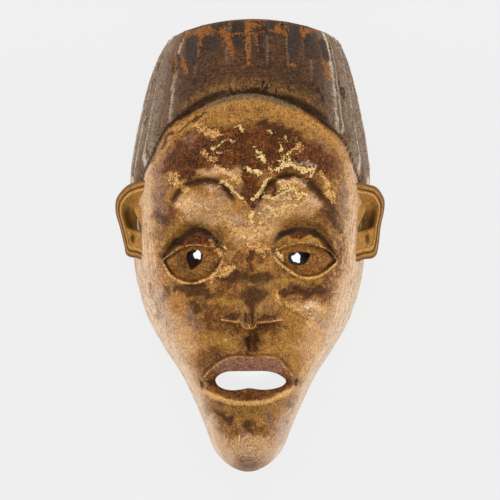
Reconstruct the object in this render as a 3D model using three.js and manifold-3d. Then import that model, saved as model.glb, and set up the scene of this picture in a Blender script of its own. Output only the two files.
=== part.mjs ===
// A carved wooden face mask, lying on the flat back rim of its hollow shell with the face up.
// Millimetres. X runs across the face, Y from the chin to the crown, Z out of the face.
// The mask is one block of wood: face, hair cap and ears are carved from it, and its back is hollowed.

import * as THREE from 'three';
import { mergeVertices } from 'three/addons/utils/BufferGeometryUtils.js';
import Module from 'manifold-3d';

const wasm = await Module();
wasm.setup();

// Driving dimensions
const HEIGHT = 290.4; // crown to chin
const RIM_WALL = 9; // width of the flat back rim
const FRONT_WALL = 23; // wood behind the face, thick enough for the carved sockets
const CHIN_WALL = 13;
const TOP_WALL = 15;
const TOP_TILT = 0.31; // the flat top leans back this much for each millimetre of depth
const TOP_WEAR = 4.6; // height that the worn front edge of the top has lost
const HAIR_STEP = 3; // how far the hair cap stands proud of the forehead
const FLUTE_DEPTH = 2.2; // depth of the gouge cuts in the hair
const BROW_CUT = 1.8; // depth of the incised brow lines
const NOSE_HEIGHT = 20; // nose tip above the face around it
const LIP_HEIGHT = 4; // lips above the skin around the mouth

const CROWN = HEIGHT / 2;
const CHIN = -HEIGHT / 2;
const HAIR_START = 60; // height at which the sections begin to lean back with the top
const CLEAR = 3; // cutters run this far past the faces that they cut

// Small helpers
const clamp = (value) => Math.min(1, Math.max(0, value));
const mix = (from, to, share) => from + (to - from) * share;
const bell = (offset, reach) => Math.exp(-((offset / reach) ** 2));
const mound = (x, y, reachX, reachY) => bell(x, reachX) * bell(y, reachY);

function ramp(from, to, value) {
  const share = clamp((value - from) / (to - from));
  return share * share * (3 - 2 * share);
}

// A smooth curve through a few stations [place, value], level beyond both ends
function curve(stations) {
  const last = stations.length - 1;
  const slope = (index) => {
    const before = stations[Math.max(0, index - 1)];
    const after = stations[Math.min(last, index + 1)];
    return (after[1] - before[1]) / (after[0] - before[0]);
  };
  return (place) => {
    if (place <= stations[0][0]) return stations[0][1];
    if (place >= stations[last][0]) return stations[last][1];
    const index = stations.findIndex((station) => station[0] > place) - 1;
    const [from, low] = stations[index];
    const [to, high] = stations[index + 1];
    const width = to - from;
    const t = (place - from) / width;
    const rise = slope(index) * width;
    const fall = slope(index + 1) * width;
    const startShare = (1 + 2 * t) * (1 - t) ** 2;
    const endShare = t * t * (3 - 2 * t);
    return startShare * low + t * (1 - t) ** 2 * rise + endShare * high + t * t * (t - 1) * fall;
  };
}

// Distance above a line that is given as a height over x
function above(line, x, y) {
  const step = 0.5;
  const slope = (line(x + step) - line(x - step)) / (2 * step);
  return (y - line(x)) / Math.hypot(1, slope);
}

// Main form: half-width of the outline, depth of the centre line and squareness of the sections
const halfWidth = curve([
  [CHIN, 17.8], [-127, 23.8], [-108, 31.2], [-83, 43], [-66, 54], [-46, 65], [-23, 72],
  [0, 74.6], [30, 75.6], [46, 76], [60, 74.4], [73, 72.2], [100, 66], [114, 61.5], [126, 56],
]);
// The centre line isn't quite straight: it drifts sideways towards the top
const sway = curve([[CHIN, -1.3], [-110, -0.8], [-10, -0.6], [30, 0], [60, 0.4], [100, 1], [120, 1.8], [140, 3]]);
const frontDepth = curve([
  [CHIN, 83], [-125, 90], [-98, 94], [-60, 90], [-20, 90], [5, 92], [35, 98], [60, 97], [95, 90], [CROWN, 74],
]);
const squareness = curve([
  [CHIN, 2.6], [-110, 2.75], [-86, 2.8], [-40, 2.6], [40, 2.6], [80, 2.3], [CROWN, 1.85],
]);

// The same form serves the carved outside and the plain hollow inside it
const OUTSIDE = { wall: 0, frontWall: 0, chin: CHIN, chinRound: 18.3, crown: CROWN + TOP_WEAR, topRound: 12 };
const INSIDE = {
  wall: RIM_WALL,
  frontWall: FRONT_WALL,
  chin: CHIN + CHIN_WALL,
  chinRound: 24,
  crown: CROWN - TOP_WALL,
  topRound: 26,
};
const CHIN_POWER = 3.5;
const TOP_POWER = 4;
const roundOff = (turn, power) => (1 - turn ** power) ** (1 / power);

// A section is an arch: the front share of its half-width is spaced by x, the side wall by z
const FRONT_SHARE = 0.8;
const FRONT_END = 0.6;
function arch(across, power) {
  const out = Math.abs(across);
  const sign = Math.sign(across);
  const turnRise = roundOff(FRONT_SHARE, power);
  if (out < FRONT_END) {
    const side = (FRONT_SHARE * out) / FRONT_END;
    return [sign * side, roundOff(side, power)];
  }
  const rise = turnRise * (1 - (out - FRONT_END) / (1 - FRONT_END));
  return [sign * roundOff(Math.max(0, rise), power), Math.max(0, rise)];
}

function basePoint(form, station, across) {
  const chinTurn = clamp((form.chin + form.chinRound - station) / form.chinRound);
  const topTurn = clamp((station - form.crown + form.topRound) / form.topRound);
  const fullDepth = frontDepth(station) - form.frontWall;
  const depth = fullDepth * roundOff(chinTurn, CHIN_POWER) * roundOff(topTurn, TOP_POWER);
  const lean = TOP_TILT * ramp(HAIR_START, CROWN, station);
  const rimY = station - lean * fullDepth;
  const width = (halfWidth(rimY) - form.wall) * roundOff(chinTurn, 2);
  const power = squareness(station);
  const [side, rise] = arch(across, power);
  const z = depth * rise;
  const outX = (Math.sign(side) * Math.abs(side) ** (power - 1)) / Math.max(width, 1);
  const outZ = rise ** (power - 1) / Math.max(depth, 1);
  const length = Math.hypot(outX, outZ) || 1;
  return {
    x: width * side + sway(rimY),
    y: station - lean * (fullDepth - z),
    z,
    outX: outX / length,
    outZ: outZ / length,
    topTurn,
  };
}

// Hair: a cap that stands proud of the forehead, with gouge cuts between ridges that fan down from the top
const hairline = curve([
  [-76, 30], [-69.6, 41], [-67.5, 48], [-54, 74.5], [-38, 85.5], [-25, 92.3], [-12.5, 96.3], [0.3, 97.5], [13, 95.7],
  [32.3, 88.6], [48.3, 78], [61, 65.5], [68.1, 47.7], [70.6, 40], [76, 30],
]);
const RIDGES = [
  -1, -0.92, -0.84, -0.755, -0.667, -0.546, -0.407, -0.178, -0.019, 0.114, 0.265, 0.431, 0.582, 0.688, 0.77,
  0.85, 0.925, 1,
];
function flute(across) {
  const next = RIDGES.findIndex((ridge) => ridge >= across);
  const index = Math.max(1, next < 0 ? RIDGES.length - 1 : next);
  const share = clamp((across - RIDGES[index - 1]) / (RIDGES[index] - RIDGES[index - 1]));
  return 4 * share * (1 - share);
}
function hairRelief(x, y, across, topTurn) {
  const height = above(hairline, x, y);
  const proud = mix(HAIR_STEP, 1, ramp(FRONT_END, 1, Math.abs(across)));
  const cap = proud * ramp(-1, 4, height);
  const groove = 1.2 * bell(height + 2, 2);
  const front = 1 - ramp(0.35, 0.6, Math.abs(across));
  const fading = mix(1, mix(0.25, 1, ramp(8, 42, height)), front);
  const cuts = FLUTE_DEPTH * flute(across) * ramp(1, 8, height) * fading;
  return cap - groove - cuts * (1 - ramp(0.6, 1, topTurn));
}

// Brows: an incised arc with a soft roll above it and a swelling below it, down to the eye
const BROWS = [
  curve([[-51, 27], [-44, 36], [-37, 40], [-26.6, 41.6], [-19.6, 40], [-13.4, 34], [-9.2, 29]]),
  curve([[4.7, 27], [8, 34], [13, 40], [22, 44.4], [29, 44], [38, 39.5], [45, 33], [48.4, 31]]),
];
const BROW_SPANS = [[-51, -9.2], [4.7, 48.4]];
function browRelief(x, y) {
  let relief = 0;
  BROWS.forEach((line, index) => {
    const [left, right] = BROW_SPANS[index];
    const span = ramp(left - 3, left + 3, x) * (1 - ramp(right - 3, right + 3, x));
    const height = above(line, x, y);
    const cut = BROW_CUT * bell(height, 1.6);
    const roll = 0.8 * bell(height - 4, 3);
    const swelling = 2.6 * mound(x - (left + right) / 2, line(x) - 12 - y, 19, 9);
    relief += span * (roll - cut) + swelling;
  });
  return relief;
}

// Eyes: a socket that is deepest at the crease over the upper lid, thin lid edges and a sunken eyeball
const EYES = [
  {
    crease: curve([[-56, -8], [-51.6, -1], [-39, 9.5], [-32, 11.3], [-23.4, 7], [-18, 2], [-13, -4]]),
    upper: curve([[-56, -9.7], [-51, -5.9], [-44.6, -1.7], [-36.7, 0.2], [-28.7, -0.3], [-20.8, -2.6], [-16.5, -7.5]]),
    lower: curve([[-56, -9.7], [-51, -18.1], [-44.6, -22.4], [-37.2, -23.7], [-29.8, -21.8], [-23.4, -18.1], [-16.5, -7.5]]),
    left: -56,
    right: -16.5,
    depth: 9.5,
  },
  {
    crease: curve([[10.1, -4.3], [12.5, 1], [17.8, 6.8], [25.7, 10.6], [35.3, 11.3], [43.3, 8.4], [48, 3.6], [55, -7]]),
    upper: curve([[14.6, -5.9], [19.4, -1.7], [25.7, 0.4], [33.7, 1.5], [41.7, 0.4], [49.6, -2.8], [56, -9.6]]),
    lower: curve([[14.6, -5.9], [19.4, -11.2], [25.7, -16], [31, -19.2], [38, -20.5], [47, -17.6], [56, -9.6]]),
    left: 14.6,
    right: 56,
    depth: 8,
  },
];
function eyeRelief(eye, x, y) {
  const window = ramp(eye.left - 7, eye.left + 7, x) * (1 - ramp(eye.right - 7, eye.right + 7, x));
  const inside = ramp(eye.left, eye.left + 5, x) * (1 - ramp(eye.right - 5, eye.right, x));
  const crease = eye.crease(x);
  const upper = eye.upper(x);
  const lower = eye.lower(x);
  const depth = eye.depth * window;
  const lid = -0.5 * depth;
  const foot = -0.3 * depth;
  if (y > crease) return -0.8 * depth * (1 - ramp(-1, 7.5, y - crease));
  if (y > upper) return mix(lid, -depth * 0.8, ramp(0, 1, (y - upper) / Math.max(1, crease - upper)));
  if (y < lower) return foot * (1 - ramp(0, 16, lower - y));
  const height = Math.max(1, upper - lower);
  const open = (4 * (y - lower) * (upper - y)) / height ** 2;
  const floor = mix(foot, lid, (y - lower) / height);
  return floor + inside * (3.2 * open - 3.6 * ramp(0, 0.4, open));
}
function lidRelief(eye, x, y) {
  const span = ramp(eye.left - 2, eye.left + 2, x) * (1 - ramp(eye.right - 2, eye.right + 2, x));
  const below = -above(eye.lower, x, y);
  const band = ramp(-1.2, 0.4, below) * (1 - ramp(1.8, 4, below));
  return span * (1.3 * bell(above(eye.upper, x, y), 1.4) + 1.4 * band);
}

// Nose: a broad wedge with its underside cut off straight, and a small round tip that hangs below the cut
const NOSE_X = 1.2;
const TIP_X = -0.8;
const TIP_HALF = 5;
const RIDGE_ROUND = 1.5;
const NOSE_TOP = 6;
const NOSE_FOOT = -50;
function noseRelief(x, y) {
  const off = Math.hypot(x - NOSE_X, RIDGE_ROUND);
  const tip = Math.sqrt(clamp(1 - ((x - TIP_X) / TIP_HALF) ** 2));
  const foot = NOSE_FOOT + 2.2 * ((x - NOSE_X) / 20) ** 2 - 3.8 * tip;
  const along = clamp((NOSE_TOP - y) / (NOSE_TOP - NOSE_FOOT));
  const half = mix(20, 17.5, along) + 5 * ramp(0.55, 1, along);
  const section = (share) => 1 - ramp(-0.25, 1, share);
  const body = (NOSE_HEIGHT * along ** 1.2 * section(off / half)) / section(0);
  const bulb = 1.6 * tip * ramp(-36, -44, y);
  const hollows = 1.8 * (mound(x + 11, y + 45.4, 5.5, 2.3) + mound(x - 11, y + 46, 6, 1.9));
  return (body + bulb - hollows) * ramp(foot - 0.9, foot + 0.5, y);
}

// Mouth: a broad upper lip, a lower lip whose crest stands round a hollowed inner face, and pierced between
const LIP_TOP = curve([
  [-31.7, -85.9], [-25.9, -79], [-19, -73.7], [-12.7, -71], [-1, -70.8], [15.5, -71], [20.2, -74.2], [25, -79.6],
  [29.8, -84.4],
]);
const LIP_CREST = curve([
  [-29.6, -92.8], [-23.2, -96.5], [-15.3, -99.2], [-4.7, -100.8], [8.6, -100.2], [16.5, -97.6], [23.4, -94.4],
  [28.2, -91.2],
]);
const MOUTH_LEFT = -30.6;
const MOUTH_RIGHT = 29;
const MOUTH_Y = -86.4;
function mouthRelief(x, y) {
  const span = ramp(MOUTH_LEFT - 2, MOUTH_LEFT + 2, x) * (1 - ramp(MOUTH_RIGHT - 2, MOUTH_RIGHT + 2, x));
  const below = LIP_TOP(x) - y;
  const upper = ramp(-0.8, 0.8, below) * (LIP_HEIGHT - 4.5 * ramp(2, 16, below));
  const inward = y - LIP_CREST(x);
  const sunk = mix(-5.5, -1, ramp(20, 28, Math.abs(x)));
  const lower = inward < 0 ? LIP_HEIGHT * bell(inward, 5.5) : mix(LIP_HEIGHT, sunk, ramp(0, 10, inward));
  return span * mix(lower, upper, ramp(MOUTH_Y - 1.2, MOUTH_Y + 1.2, y));
}

// Softer forms around the nose and mouth
function fleshRelief(x, y) {
  const muzzle = 6 * mound(x, y + 84, 36, 24);
  const cheeks = 2.5 * mound(Math.abs(x) - 42, y + 42, 14, 16);
  const underNose = 2 * mound(x, y + 57, 20, 6);
  const philtrum = 2 * bell(x + 1, 2.8) * ramp(-54, -60, y) * (1 - ramp(-70, -72, y));
  const underLip = 2.5 * mound(x, y + 109, 20, 6);
  const chinBoss = 2 * mound(x, y + 128, 14, 10);
  const corners = 3 * (mound(x + 30.5, y + 89.2, 1.6, 3) + mound(x - 29, y + 87.4, 1.6, 2.2));
  return muzzle + cheeks + chinBoss - underNose - philtrum - underLip - corners;
}

function faceRelief(x, y) {
  const eyes = EYES.reduce((sum, eye) => sum + eyeRelief(eye, x, y) + lidRelief(eye, x, y), 0);
  return browRelief(x, y) + eyes + noseRelief(x, y) + mouthRelief(x, y) + fleshRelief(x, y);
}

function carvedPoint(station, across) {
  const base = basePoint(OUTSIDE, station, across);
  const hair = hairRelief(base.x, base.y, across, base.topTurn);
  const face = faceRelief(base.x, base.y) * ramp(0, 20, base.z);
  return [base.x + hair * base.outX, base.y, base.z + hair * base.outZ + face];
}

function hollowPoint(station, across) {
  const base = basePoint(INSIDE, station, across);
  return [base.x, base.y, base.z + CLEAR];
}

// Rows of the grid: even steps in each stretch, closer over the eyes, nose foot and mouth
function stretches(list) {
  const rows = [];
  for (const [from, to, count] of list) {
    for (let step = 0; step < count; step += 1) rows.push(mix(from, to, step / count));
  }
  return rows;
}
function endRows(power, round, count, place) {
  const rows = [];
  for (let step = 1; step <= count; step += 1) {
    const share = Math.cos((step / count) * (Math.PI / 2));
    rows.push(place(round * (1 - share ** power) ** (1 / power)));
  }
  return rows;
}
function rowStations(form, middle, chinSteps, topSteps) {
  const chinFrom = form.chin + form.chinRound;
  const topFrom = form.crown - form.topRound;
  const chinRows = endRows(CHIN_POWER, form.chinRound, chinSteps, (reach) => chinFrom - reach).reverse();
  const topRows = endRows(TOP_POWER, form.topRound, topSteps, (reach) => topFrom + reach);
  return [...chinRows, ...stretches(middle(chinFrom, topFrom)), topFrom, ...topRows];
}

// Columns of the grid: even on the face, on the ridges and cuts of the hair
const FACE_FRONT_STEPS = 20;
const FACE_SIDE_STEPS = 5;
function faceColumns() {
  const half = [];
  for (let step = 1; step <= FACE_FRONT_STEPS; step += 1) half.push((FRONT_END * step) / FACE_FRONT_STEPS);
  for (let step = 1; step <= FACE_SIDE_STEPS; step += 1) {
    half.push(FRONT_END + ((1 - FRONT_END) * step) / FACE_SIDE_STEPS);
  }
  return [...half.map((value) => -value).reverse(), 0, ...half];
}
function hairColumns(total) {
  const flutes = RIDGES.length - 1;
  const columns = [];
  for (let index = 0; index < flutes; index += 1) {
    const steps = Math.round(((index + 1) * total) / flutes) - Math.round((index * total) / flutes);
    for (let step = 0; step < steps; step += 1) {
      columns.push(mix(RIDGES[index], RIDGES[index + 1], step / steps));
    }
  }
  columns.push(1);
  return columns;
}

// A closed solid: the lofted grid, with its open back closed by a flat face
function loftSolid(stations, columnsAt, point, floor) {
  const rows = stations.map((station) => columnsAt(station).map((across) => point(station, across)));
  const lastRow = rows.length - 1;
  const lastColumn = rows[0].length - 1;
  const triangles = [];
  const apart = (one, two, middle) => Math.hypot(...one.map((value, axis) => (value + two[axis]) / 2 - middle[axis]));
  for (let row = 0; row < lastRow; row += 1) {
    const columns = columnsAt((stations[row] + stations[row + 1]) / 2);
    for (let column = 0; column < lastColumn; column += 1) {
      const a = rows[row][column];
      const b = rows[row][column + 1];
      const c = rows[row + 1][column + 1];
      const d = rows[row + 1][column];
      const middle = point((stations[row] + stations[row + 1]) / 2, (columns[column] + columns[column + 1]) / 2);
      if (apart(a, c, middle) < apart(b, d, middle)) triangles.push(a, b, c, a, c, d);
      else triangles.push(a, b, d, b, c, d);
    }
  }
  const rim = [
    ...rows.map((row) => row[0]),
    ...rows[lastRow].slice(1, lastColumn),
    ...rows.map((row) => row[lastColumn]).reverse().slice(0, -1),
  ];
  for (const vertex of [...rim, ...rows[0]]) vertex[2] = floor;
  const contour = rim.map((vertex) => new THREE.Vector2(vertex[0], vertex[1]));
  for (const face of THREE.ShapeUtils.triangulateShape(contour, [])) {
    const corners = face.map((index) => rim[index]);
    triangles.push(...facing(corners, -1));
  }
  return solidOf(new THREE.BufferGeometry().setFromPoints(triangles.map((vertex) => new THREE.Vector3(...vertex))));
}

// The three corners of a flat triangle, in the order that makes it face up or down
function facing(corners, way) {
  const [a, b, c] = corners;
  const turn = (b[0] - a[0]) * (c[1] - a[1]) - (b[1] - a[1]) * (c[0] - a[0]);
  return turn * way > 0 ? [a, b, c] : [a, c, b];
}

function solidOf(geometry) {
  const bare = geometry.index ? geometry.toNonIndexed() : geometry.clone();
  bare.deleteAttribute('normal');
  bare.deleteAttribute('uv');
  const merged = mergeVertices(bare, 1e-4);
  const index = merged.index.array;
  const kept = [];
  for (let at = 0; at < index.length; at += 3) {
    const [a, b, c] = [index[at], index[at + 1], index[at + 2]];
    if (a !== b && b !== c && c !== a) kept.push(a, b, c);
  }
  const vertProperties = new Float32Array(merged.attributes.position.array);
  const triVerts = new Uint32Array(kept);
  return new wasm.Manifold(new wasm.Mesh({ numProp: 3, vertProperties, triVerts }));
}

// Ears: oblique leaves on the sides, with a rim, a groove and a ridge round a deep hollow, and a squared lobe
const EAR_SIDES = [
  {
    sign: -1,
    outline: [[60, 38], [75, 40], [84.7, 31.6], [86.2, 22], [83.3, 11], [80.7, 0.4], [79, -6.2], [73, -8], [62, -7]],
  },
  {
    sign: 1,
    outline: [[60, 36], [78, 38.4], [85.2, 31.5], [86.2, 24], [83.8, 12], [82.4, 0], [80.3, -7], [74, -8.8], [62, -7]],
  },
];
const EAR_CENTRE = [72, 15];
const EAR_FRONT = 47; // depth of the ear where it leaves the cheek
const EAR_SLANT = 0.8; // how fast it falls back outwards
const EAR_LIFT = 9; // how far its top stands further out
const EAR_THICK = 9;
const EAR_STEPS = 24;
const EAR_RINGS = [0.35, 0.55, 0.68, 0.755, 0.83, 0.91, 1];

// Carving of an ear's front, from its middle (ring 0) to its edge (ring 1)
function earFront(x, y, ring) {
  const flapEdge = 73.7 - 0.45 * Math.max(21.6 - y, 0) - x;
  const flap = ramp(-0.5, 0.7, flapEdge) * (1 - ramp(23, 27, y)) * ramp(8, 12, y);
  const hollow = (1 - ramp(0.5, 0.72, ring)) * ramp(-0.5, 2, y - 7.5 - 0.3 * (x - 69)) * (1 - flap);
  const notch = 2.6 * mound(x - 75, y - 4.4, 1.5, 4);
  const ridge = 1.3 * bell(ring - 0.755, 0.04) - 1.3 * bell(ring - 0.83, 0.03);
  const depth = mix(6, 3, ramp(18, 31, y)) * ramp(68, 72, x);
  return (ridge + 2.5 * flap - depth * hollow - notch) * (1 - ramp(0.93, 1, ring));
}

function earSolid(ear) {
  const loop = new THREE.CatmullRomCurve3(ear.outline.map(([x, y]) => new THREE.Vector3(x, y, 0)), true);
  const edge = loop.getSpacedPoints(EAR_STEPS).slice(0, EAR_STEPS);
  const plane = (x, y) => EAR_FRONT - EAR_SLANT * (x - 66) + EAR_LIFT * ramp(22, 42, y);
  const place = (corner, ring, front) => {
    const x = mix(EAR_CENTRE[0], corner.x, ring);
    const y = mix(EAR_CENTRE[1], corner.y, ring);
    const swell = Math.sqrt(1 - ring ** 4);
    const rise = front ? (EAR_THICK / 2) * swell + earFront(x, y, ring) : -(EAR_THICK / 2 + 3) * swell;
    return new THREE.Vector3(ear.sign * x, y, plane(x, y) + rise);
  };
  const points = [];
  const push = (a, b, c) => points.push(...(ear.sign > 0 ? [a, b, c] : [a, c, b]));
  edge.forEach((corner, index) => {
    const next = edge[(index + 1) % EAR_STEPS];
    for (const front of [true, false]) {
      const turn = front ? (a, b, c) => push(a, c, b) : push;
      turn(place(corner, 0, front), place(corner, EAR_RINGS[0], front), place(next, EAR_RINGS[0], front));
      for (let ring = 1; ring < EAR_RINGS.length; ring += 1) {
        const [inner, outer] = [EAR_RINGS[ring - 1], EAR_RINGS[ring]];
        const a = place(corner, inner, front);
        const b = place(corner, outer, front);
        const c = place(next, outer, front);
        const d = place(next, inner, front);
        turn(a, b, c);
        turn(a, c, d);
      }
    }
  });
  return solidOf(new THREE.BufferGeometry().setFromPoints(points));
}

// The pierced mouth: a long rounded slot, cut straight through
const MOUTH_HOLE = [
  [-22.1, -85.9], [-20.5, -83.4], [-16.9, -81.3], [-11.7, -80.4], [-0.5, -80.3], [9.9, -80.3], [16.3, -81.6],
  [20.7, -83.9], [23, -86.5], [22.1, -88.7], [19.1, -90.6], [13.1, -92], [6.7, -92.2], [-0.5, -91.3],
  [-6.9, -92.3], [-12.1, -92.6], [-17.3, -91.5], [-20.9, -89.1],
];
function mouthCutter() {
  const loop = new THREE.CatmullRomCurve3(MOUTH_HOLE.map(([x, y]) => new THREE.Vector3(x, y, 0)), true);
  const shape = new THREE.Shape(loop.getSpacedPoints(32).slice(0, 32).map(({ x, y }) => new THREE.Vector2(x, y)));
  const geometry = new THREE.ExtrudeGeometry(shape, { depth: 90, bevelEnabled: false });
  geometry.translate(0, 0, 40);
  return solidOf(geometry);
}

// The pierced eyes: short funnels that narrow and shift as they go in
const EYE_HOLES = [
  { wide: [-36.2, -9.8], wideHalf: [6.2, 6.8], narrow: [-32.4, -5.4], narrowHalf: [3.6, 4.4] },
  { wide: [31.9, -8.3], wideHalf: [8, 4.6], narrow: [28.4, -8.2], narrowHalf: [3.8, 4.4] },
];
const HOLE_OUT = 96;
const HOLE_FACE = 80;
const HOLE_BACK = 64;
const HOLE_IN = 40;
const HOLE_SIDES = 16;
function eyeCutter(hole) {
  const levels = [
    [HOLE_OUT, hole.wide, hole.wideHalf],
    [HOLE_FACE, hole.wide, hole.wideHalf],
    [HOLE_BACK, hole.narrow, hole.narrowHalf],
    [HOLE_IN, hole.narrow, hole.narrowHalf],
  ];
  const rings = levels.map(([z, centre, half]) => {
    const ring = [];
    for (let step = 0; step < HOLE_SIDES; step += 1) {
      const angle = (step / HOLE_SIDES) * 2 * Math.PI;
      ring.push(new THREE.Vector3(centre[0] + half[0] * Math.cos(angle), centre[1] + half[1] * Math.sin(angle), z));
    }
    return ring;
  });
  const points = [];
  for (let step = 0; step < HOLE_SIDES; step += 1) {
    const next = (step + 1) % HOLE_SIDES;
    for (let level = 0; level < rings.length - 1; level += 1) {
      const [high, low] = [rings[level], rings[level + 1]];
      points.push(high[step], low[step], low[next], high[step], low[next], high[next]);
    }
    const top = new THREE.Vector3(...hole.wide, HOLE_OUT);
    const bottom = new THREE.Vector3(...hole.narrow, HOLE_IN);
    points.push(top, rings[0][step], rings[0][next], bottom, rings[3][next], rings[3][step]);
  }
  return solidOf(new THREE.BufferGeometry().setFromPoints(points));
}

// The whole mask
const FACE_COLUMNS = faceColumns();
const HAIR_COLUMNS = hairColumns(FACE_COLUMNS.length - 1);
function outsideColumns(station) {
  const share = ramp(50, 95, station);
  return FACE_COLUMNS.map((value, index) => mix(value, HAIR_COLUMNS[index], share));
}
const HOLLOW_COLUMNS = [];
for (let step = -9; step <= 9; step += 1) HOLLOW_COLUMNS.push(step / 9);

function maskSolid() {
  const outsideRows = rowStations(
    OUTSIDE,
    (chinFrom, topFrom) => [
      [chinFrom, -104, 4], [-104, -68, 14], [-68, -54, 2], [-54, -46, 4], [-46, -26, 3], [-26, 14, 16],
      [14, 46, 8], [46, 100, 10], [100, topFrom, 2],
    ],
    5,
    4,
  );
  const hollowRows = rowStations(INSIDE, (chinFrom, topFrom) => [[chinFrom, topFrom, 8]], 4, 3);
  let mask = loftSolid(outsideRows, outsideColumns, carvedPoint, 0);
  for (const ear of EAR_SIDES) mask = mask.add(earSolid(ear));
  const hollow = loftSolid(hollowRows, () => HOLLOW_COLUMNS, hollowPoint, 0).translate([0, 0, -CLEAR]);
  mask = mask.subtract(hollow).subtract(mouthCutter());
  for (const hole of EYE_HOLES) mask = mask.subtract(eyeCutter(hole));
  return mask;
}

// The origin is in the middle of the outline, on the rim plane
function geometryOf(solid) {
  const mesh = solid.getMesh();
  const geometry = new THREE.BufferGeometry();
  geometry.setAttribute('position', new THREE.BufferAttribute(new Float32Array(mesh.vertProperties), 3));
  geometry.setIndex(new THREE.BufferAttribute(new Uint32Array(mesh.triVerts), 1));
  geometry.computeBoundingBox();
  const centre = geometry.boundingBox.getCenter(new THREE.Vector3());
  geometry.translate(-centre.x, -centre.y, 0);
  geometry.computeVertexNormals();
  return geometry;
}

const wood = new THREE.MeshStandardMaterial({ color: 0x9c7040, roughness: 0.5, metalness: 0 });
const mask = new THREE.Mesh(geometryOf(maskSolid()), wood);
mask.name = 'mask';

const group = new THREE.Group();
group.add(mask);

export default group;
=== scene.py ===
import math
from collections import namedtuple

import bpy
import numpy as np
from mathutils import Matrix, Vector


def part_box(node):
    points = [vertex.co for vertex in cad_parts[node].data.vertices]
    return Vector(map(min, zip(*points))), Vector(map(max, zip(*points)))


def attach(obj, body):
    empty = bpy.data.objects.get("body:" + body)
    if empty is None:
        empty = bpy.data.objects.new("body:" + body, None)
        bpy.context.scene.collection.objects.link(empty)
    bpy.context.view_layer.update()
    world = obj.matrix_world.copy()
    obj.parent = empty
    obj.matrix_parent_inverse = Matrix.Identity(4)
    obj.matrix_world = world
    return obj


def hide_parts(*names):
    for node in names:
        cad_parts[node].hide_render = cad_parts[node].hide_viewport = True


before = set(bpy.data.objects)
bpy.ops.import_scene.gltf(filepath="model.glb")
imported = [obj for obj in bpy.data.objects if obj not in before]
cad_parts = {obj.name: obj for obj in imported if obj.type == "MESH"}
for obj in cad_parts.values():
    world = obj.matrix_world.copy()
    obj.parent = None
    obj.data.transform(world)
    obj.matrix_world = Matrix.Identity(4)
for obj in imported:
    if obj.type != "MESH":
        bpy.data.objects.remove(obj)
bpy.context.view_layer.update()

bl_info = {
    "name": "Carved Mask",
    "version": (1, 0, 0),
    "blender": (4, 5, 0),
    "location": "View3D > Sidebar > Mask",
    "description": "Builds a carved wooden face mask with its worn patina, and a pale studio to show it in",
    "category": "Object",
}

LOW = Vector(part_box("mask")[0])
MM = 0.001
MERGE = 1e-6


# Panel values

def length_value(name, description, default):
    return bpy.props.FloatProperty(name=name, description=description, default=default, unit="LENGTH")


class MaskSizes(bpy.types.PropertyGroup):
    """The sizes of the carving, in metres"""

    rim_wall: length_value("Rim wall", "Width of the flat back rim", 0.009)
    front_wall: length_value("Front wall", "Wood behind the face", 0.023)
    hair_step: length_value("Hair step", "How far the hair stands proud", 0.003)
    flute_depth: length_value("Flute depth", "Depth of the gouge cuts in the hair", 0.0022)
    brow_cut: length_value("Brow cut", "Depth of the incised brow lines", 0.0018)
    nose_height: length_value("Nose height", "Nose tip above the face around it", 0.020)
    lip_height: length_value("Lip height", "Lips above the skin around them", 0.004)


def colour_value(name, description, red, green, blue):
    """A colour property, given in the panel's own 0 to 255 values"""
    def linear(value):
        share = value / 255
        return share / 12.92 if share <= 0.04045 else ((share + 0.055) / 1.055) ** 2.4

    default = tuple(linear(value) for value in (red, green, blue))
    return bpy.props.FloatVectorProperty(
        name=name, description=description, default=default, size=3, min=0, max=1, subtype="COLOR")


class MaskColours(bpy.types.PropertyGroup):
    """The colours of the worn stain, of the light and shade painted on it, and of the studio"""

    ochre: colour_value("Ochre", "Rubbed ochre of the face", 160, 110, 54)
    brown: colour_value("Brown", "Darker wood of the face", 100, 59, 20)
    # Tan: rubbed side walls, made pale partly as a painted rim light
    tan: colour_value("Tan", "Rubbed sides of the face", 222, 188, 150)
    gold: colour_value("Gold", "Yellow ochre patches", 160, 115, 50)
    orange: colour_value("Orange", "Band under the hairline", 166, 117, 58)
    violet: colour_value("Violet", "Grey violet bloom", 122, 86, 66)
    lacquer: colour_value("Lacquer", "Dark red lacquer of the forehead", 50, 20, 3)
    umber: colour_value("Umber", "Dark stains", 66, 36, 8)
    cream: colour_value("Cream", "Flaking cream paint", 226, 190, 126)
    lip: colour_value("Lip", "Upper lip", 138, 92, 68)
    red: colour_value("Red", "Thinner red lacquer", 104, 53, 11)
    # Pale: random paler wear, and the painted sheen on the rubbed high spots
    pale: colour_value("Pale", "Rubbed pinkish sheen", 208, 168, 124)
    # Painted highlight: the painted rim light along the jaw and chin, and painted gloss highlights on the
    # brows and cheeks
    painted_highlight: colour_value("Chalk", "Palest wood along the edge of the jaw", 236, 208, 182)
    # Dirt specks, and the painted shade in the cuts, creases, grooves, ear bowls and on the walls of the
    # holes
    dirt_and_shade: colour_value("Dirt", "Dirt in the cuts", 34, 19, 8)
    worn: colour_value("Worn", "Rubbed edges", 212, 160, 96)
    grey: colour_value("Grey", "Grey band at the hairline", 108, 90, 64)
    ash: colour_value("Ash", "Cuts at the sides of the hair cap", 128, 109, 92)
    hair: colour_value("Hair", "Stained hair cap", 94, 62, 36)
    hair_dark: colour_value("Dark hair", "Darker hair cap", 54, 35, 20)
    # Pale hair: rubbed ridges of the hair cap, partly a painted highlight on them
    hair_pale: colour_value("Pale hair", "Rubbed sides of the hair cap", 196, 177, 156)
    slate: colour_value("Slate", "Grey gouge cuts under the top", 54, 43, 38)
    rust: colour_value("Rust", "Bare wood on the hair", 138, 82, 34)
    raw: colour_value("Raw wood", "Unstained wood of the hollow", 132, 92, 56)
    floor: colour_value("Floor", "Pale studio floor", 234, 234, 234)


# Small helpers

def mix(low, high, share):
    return low + (high - low) * share


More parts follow.
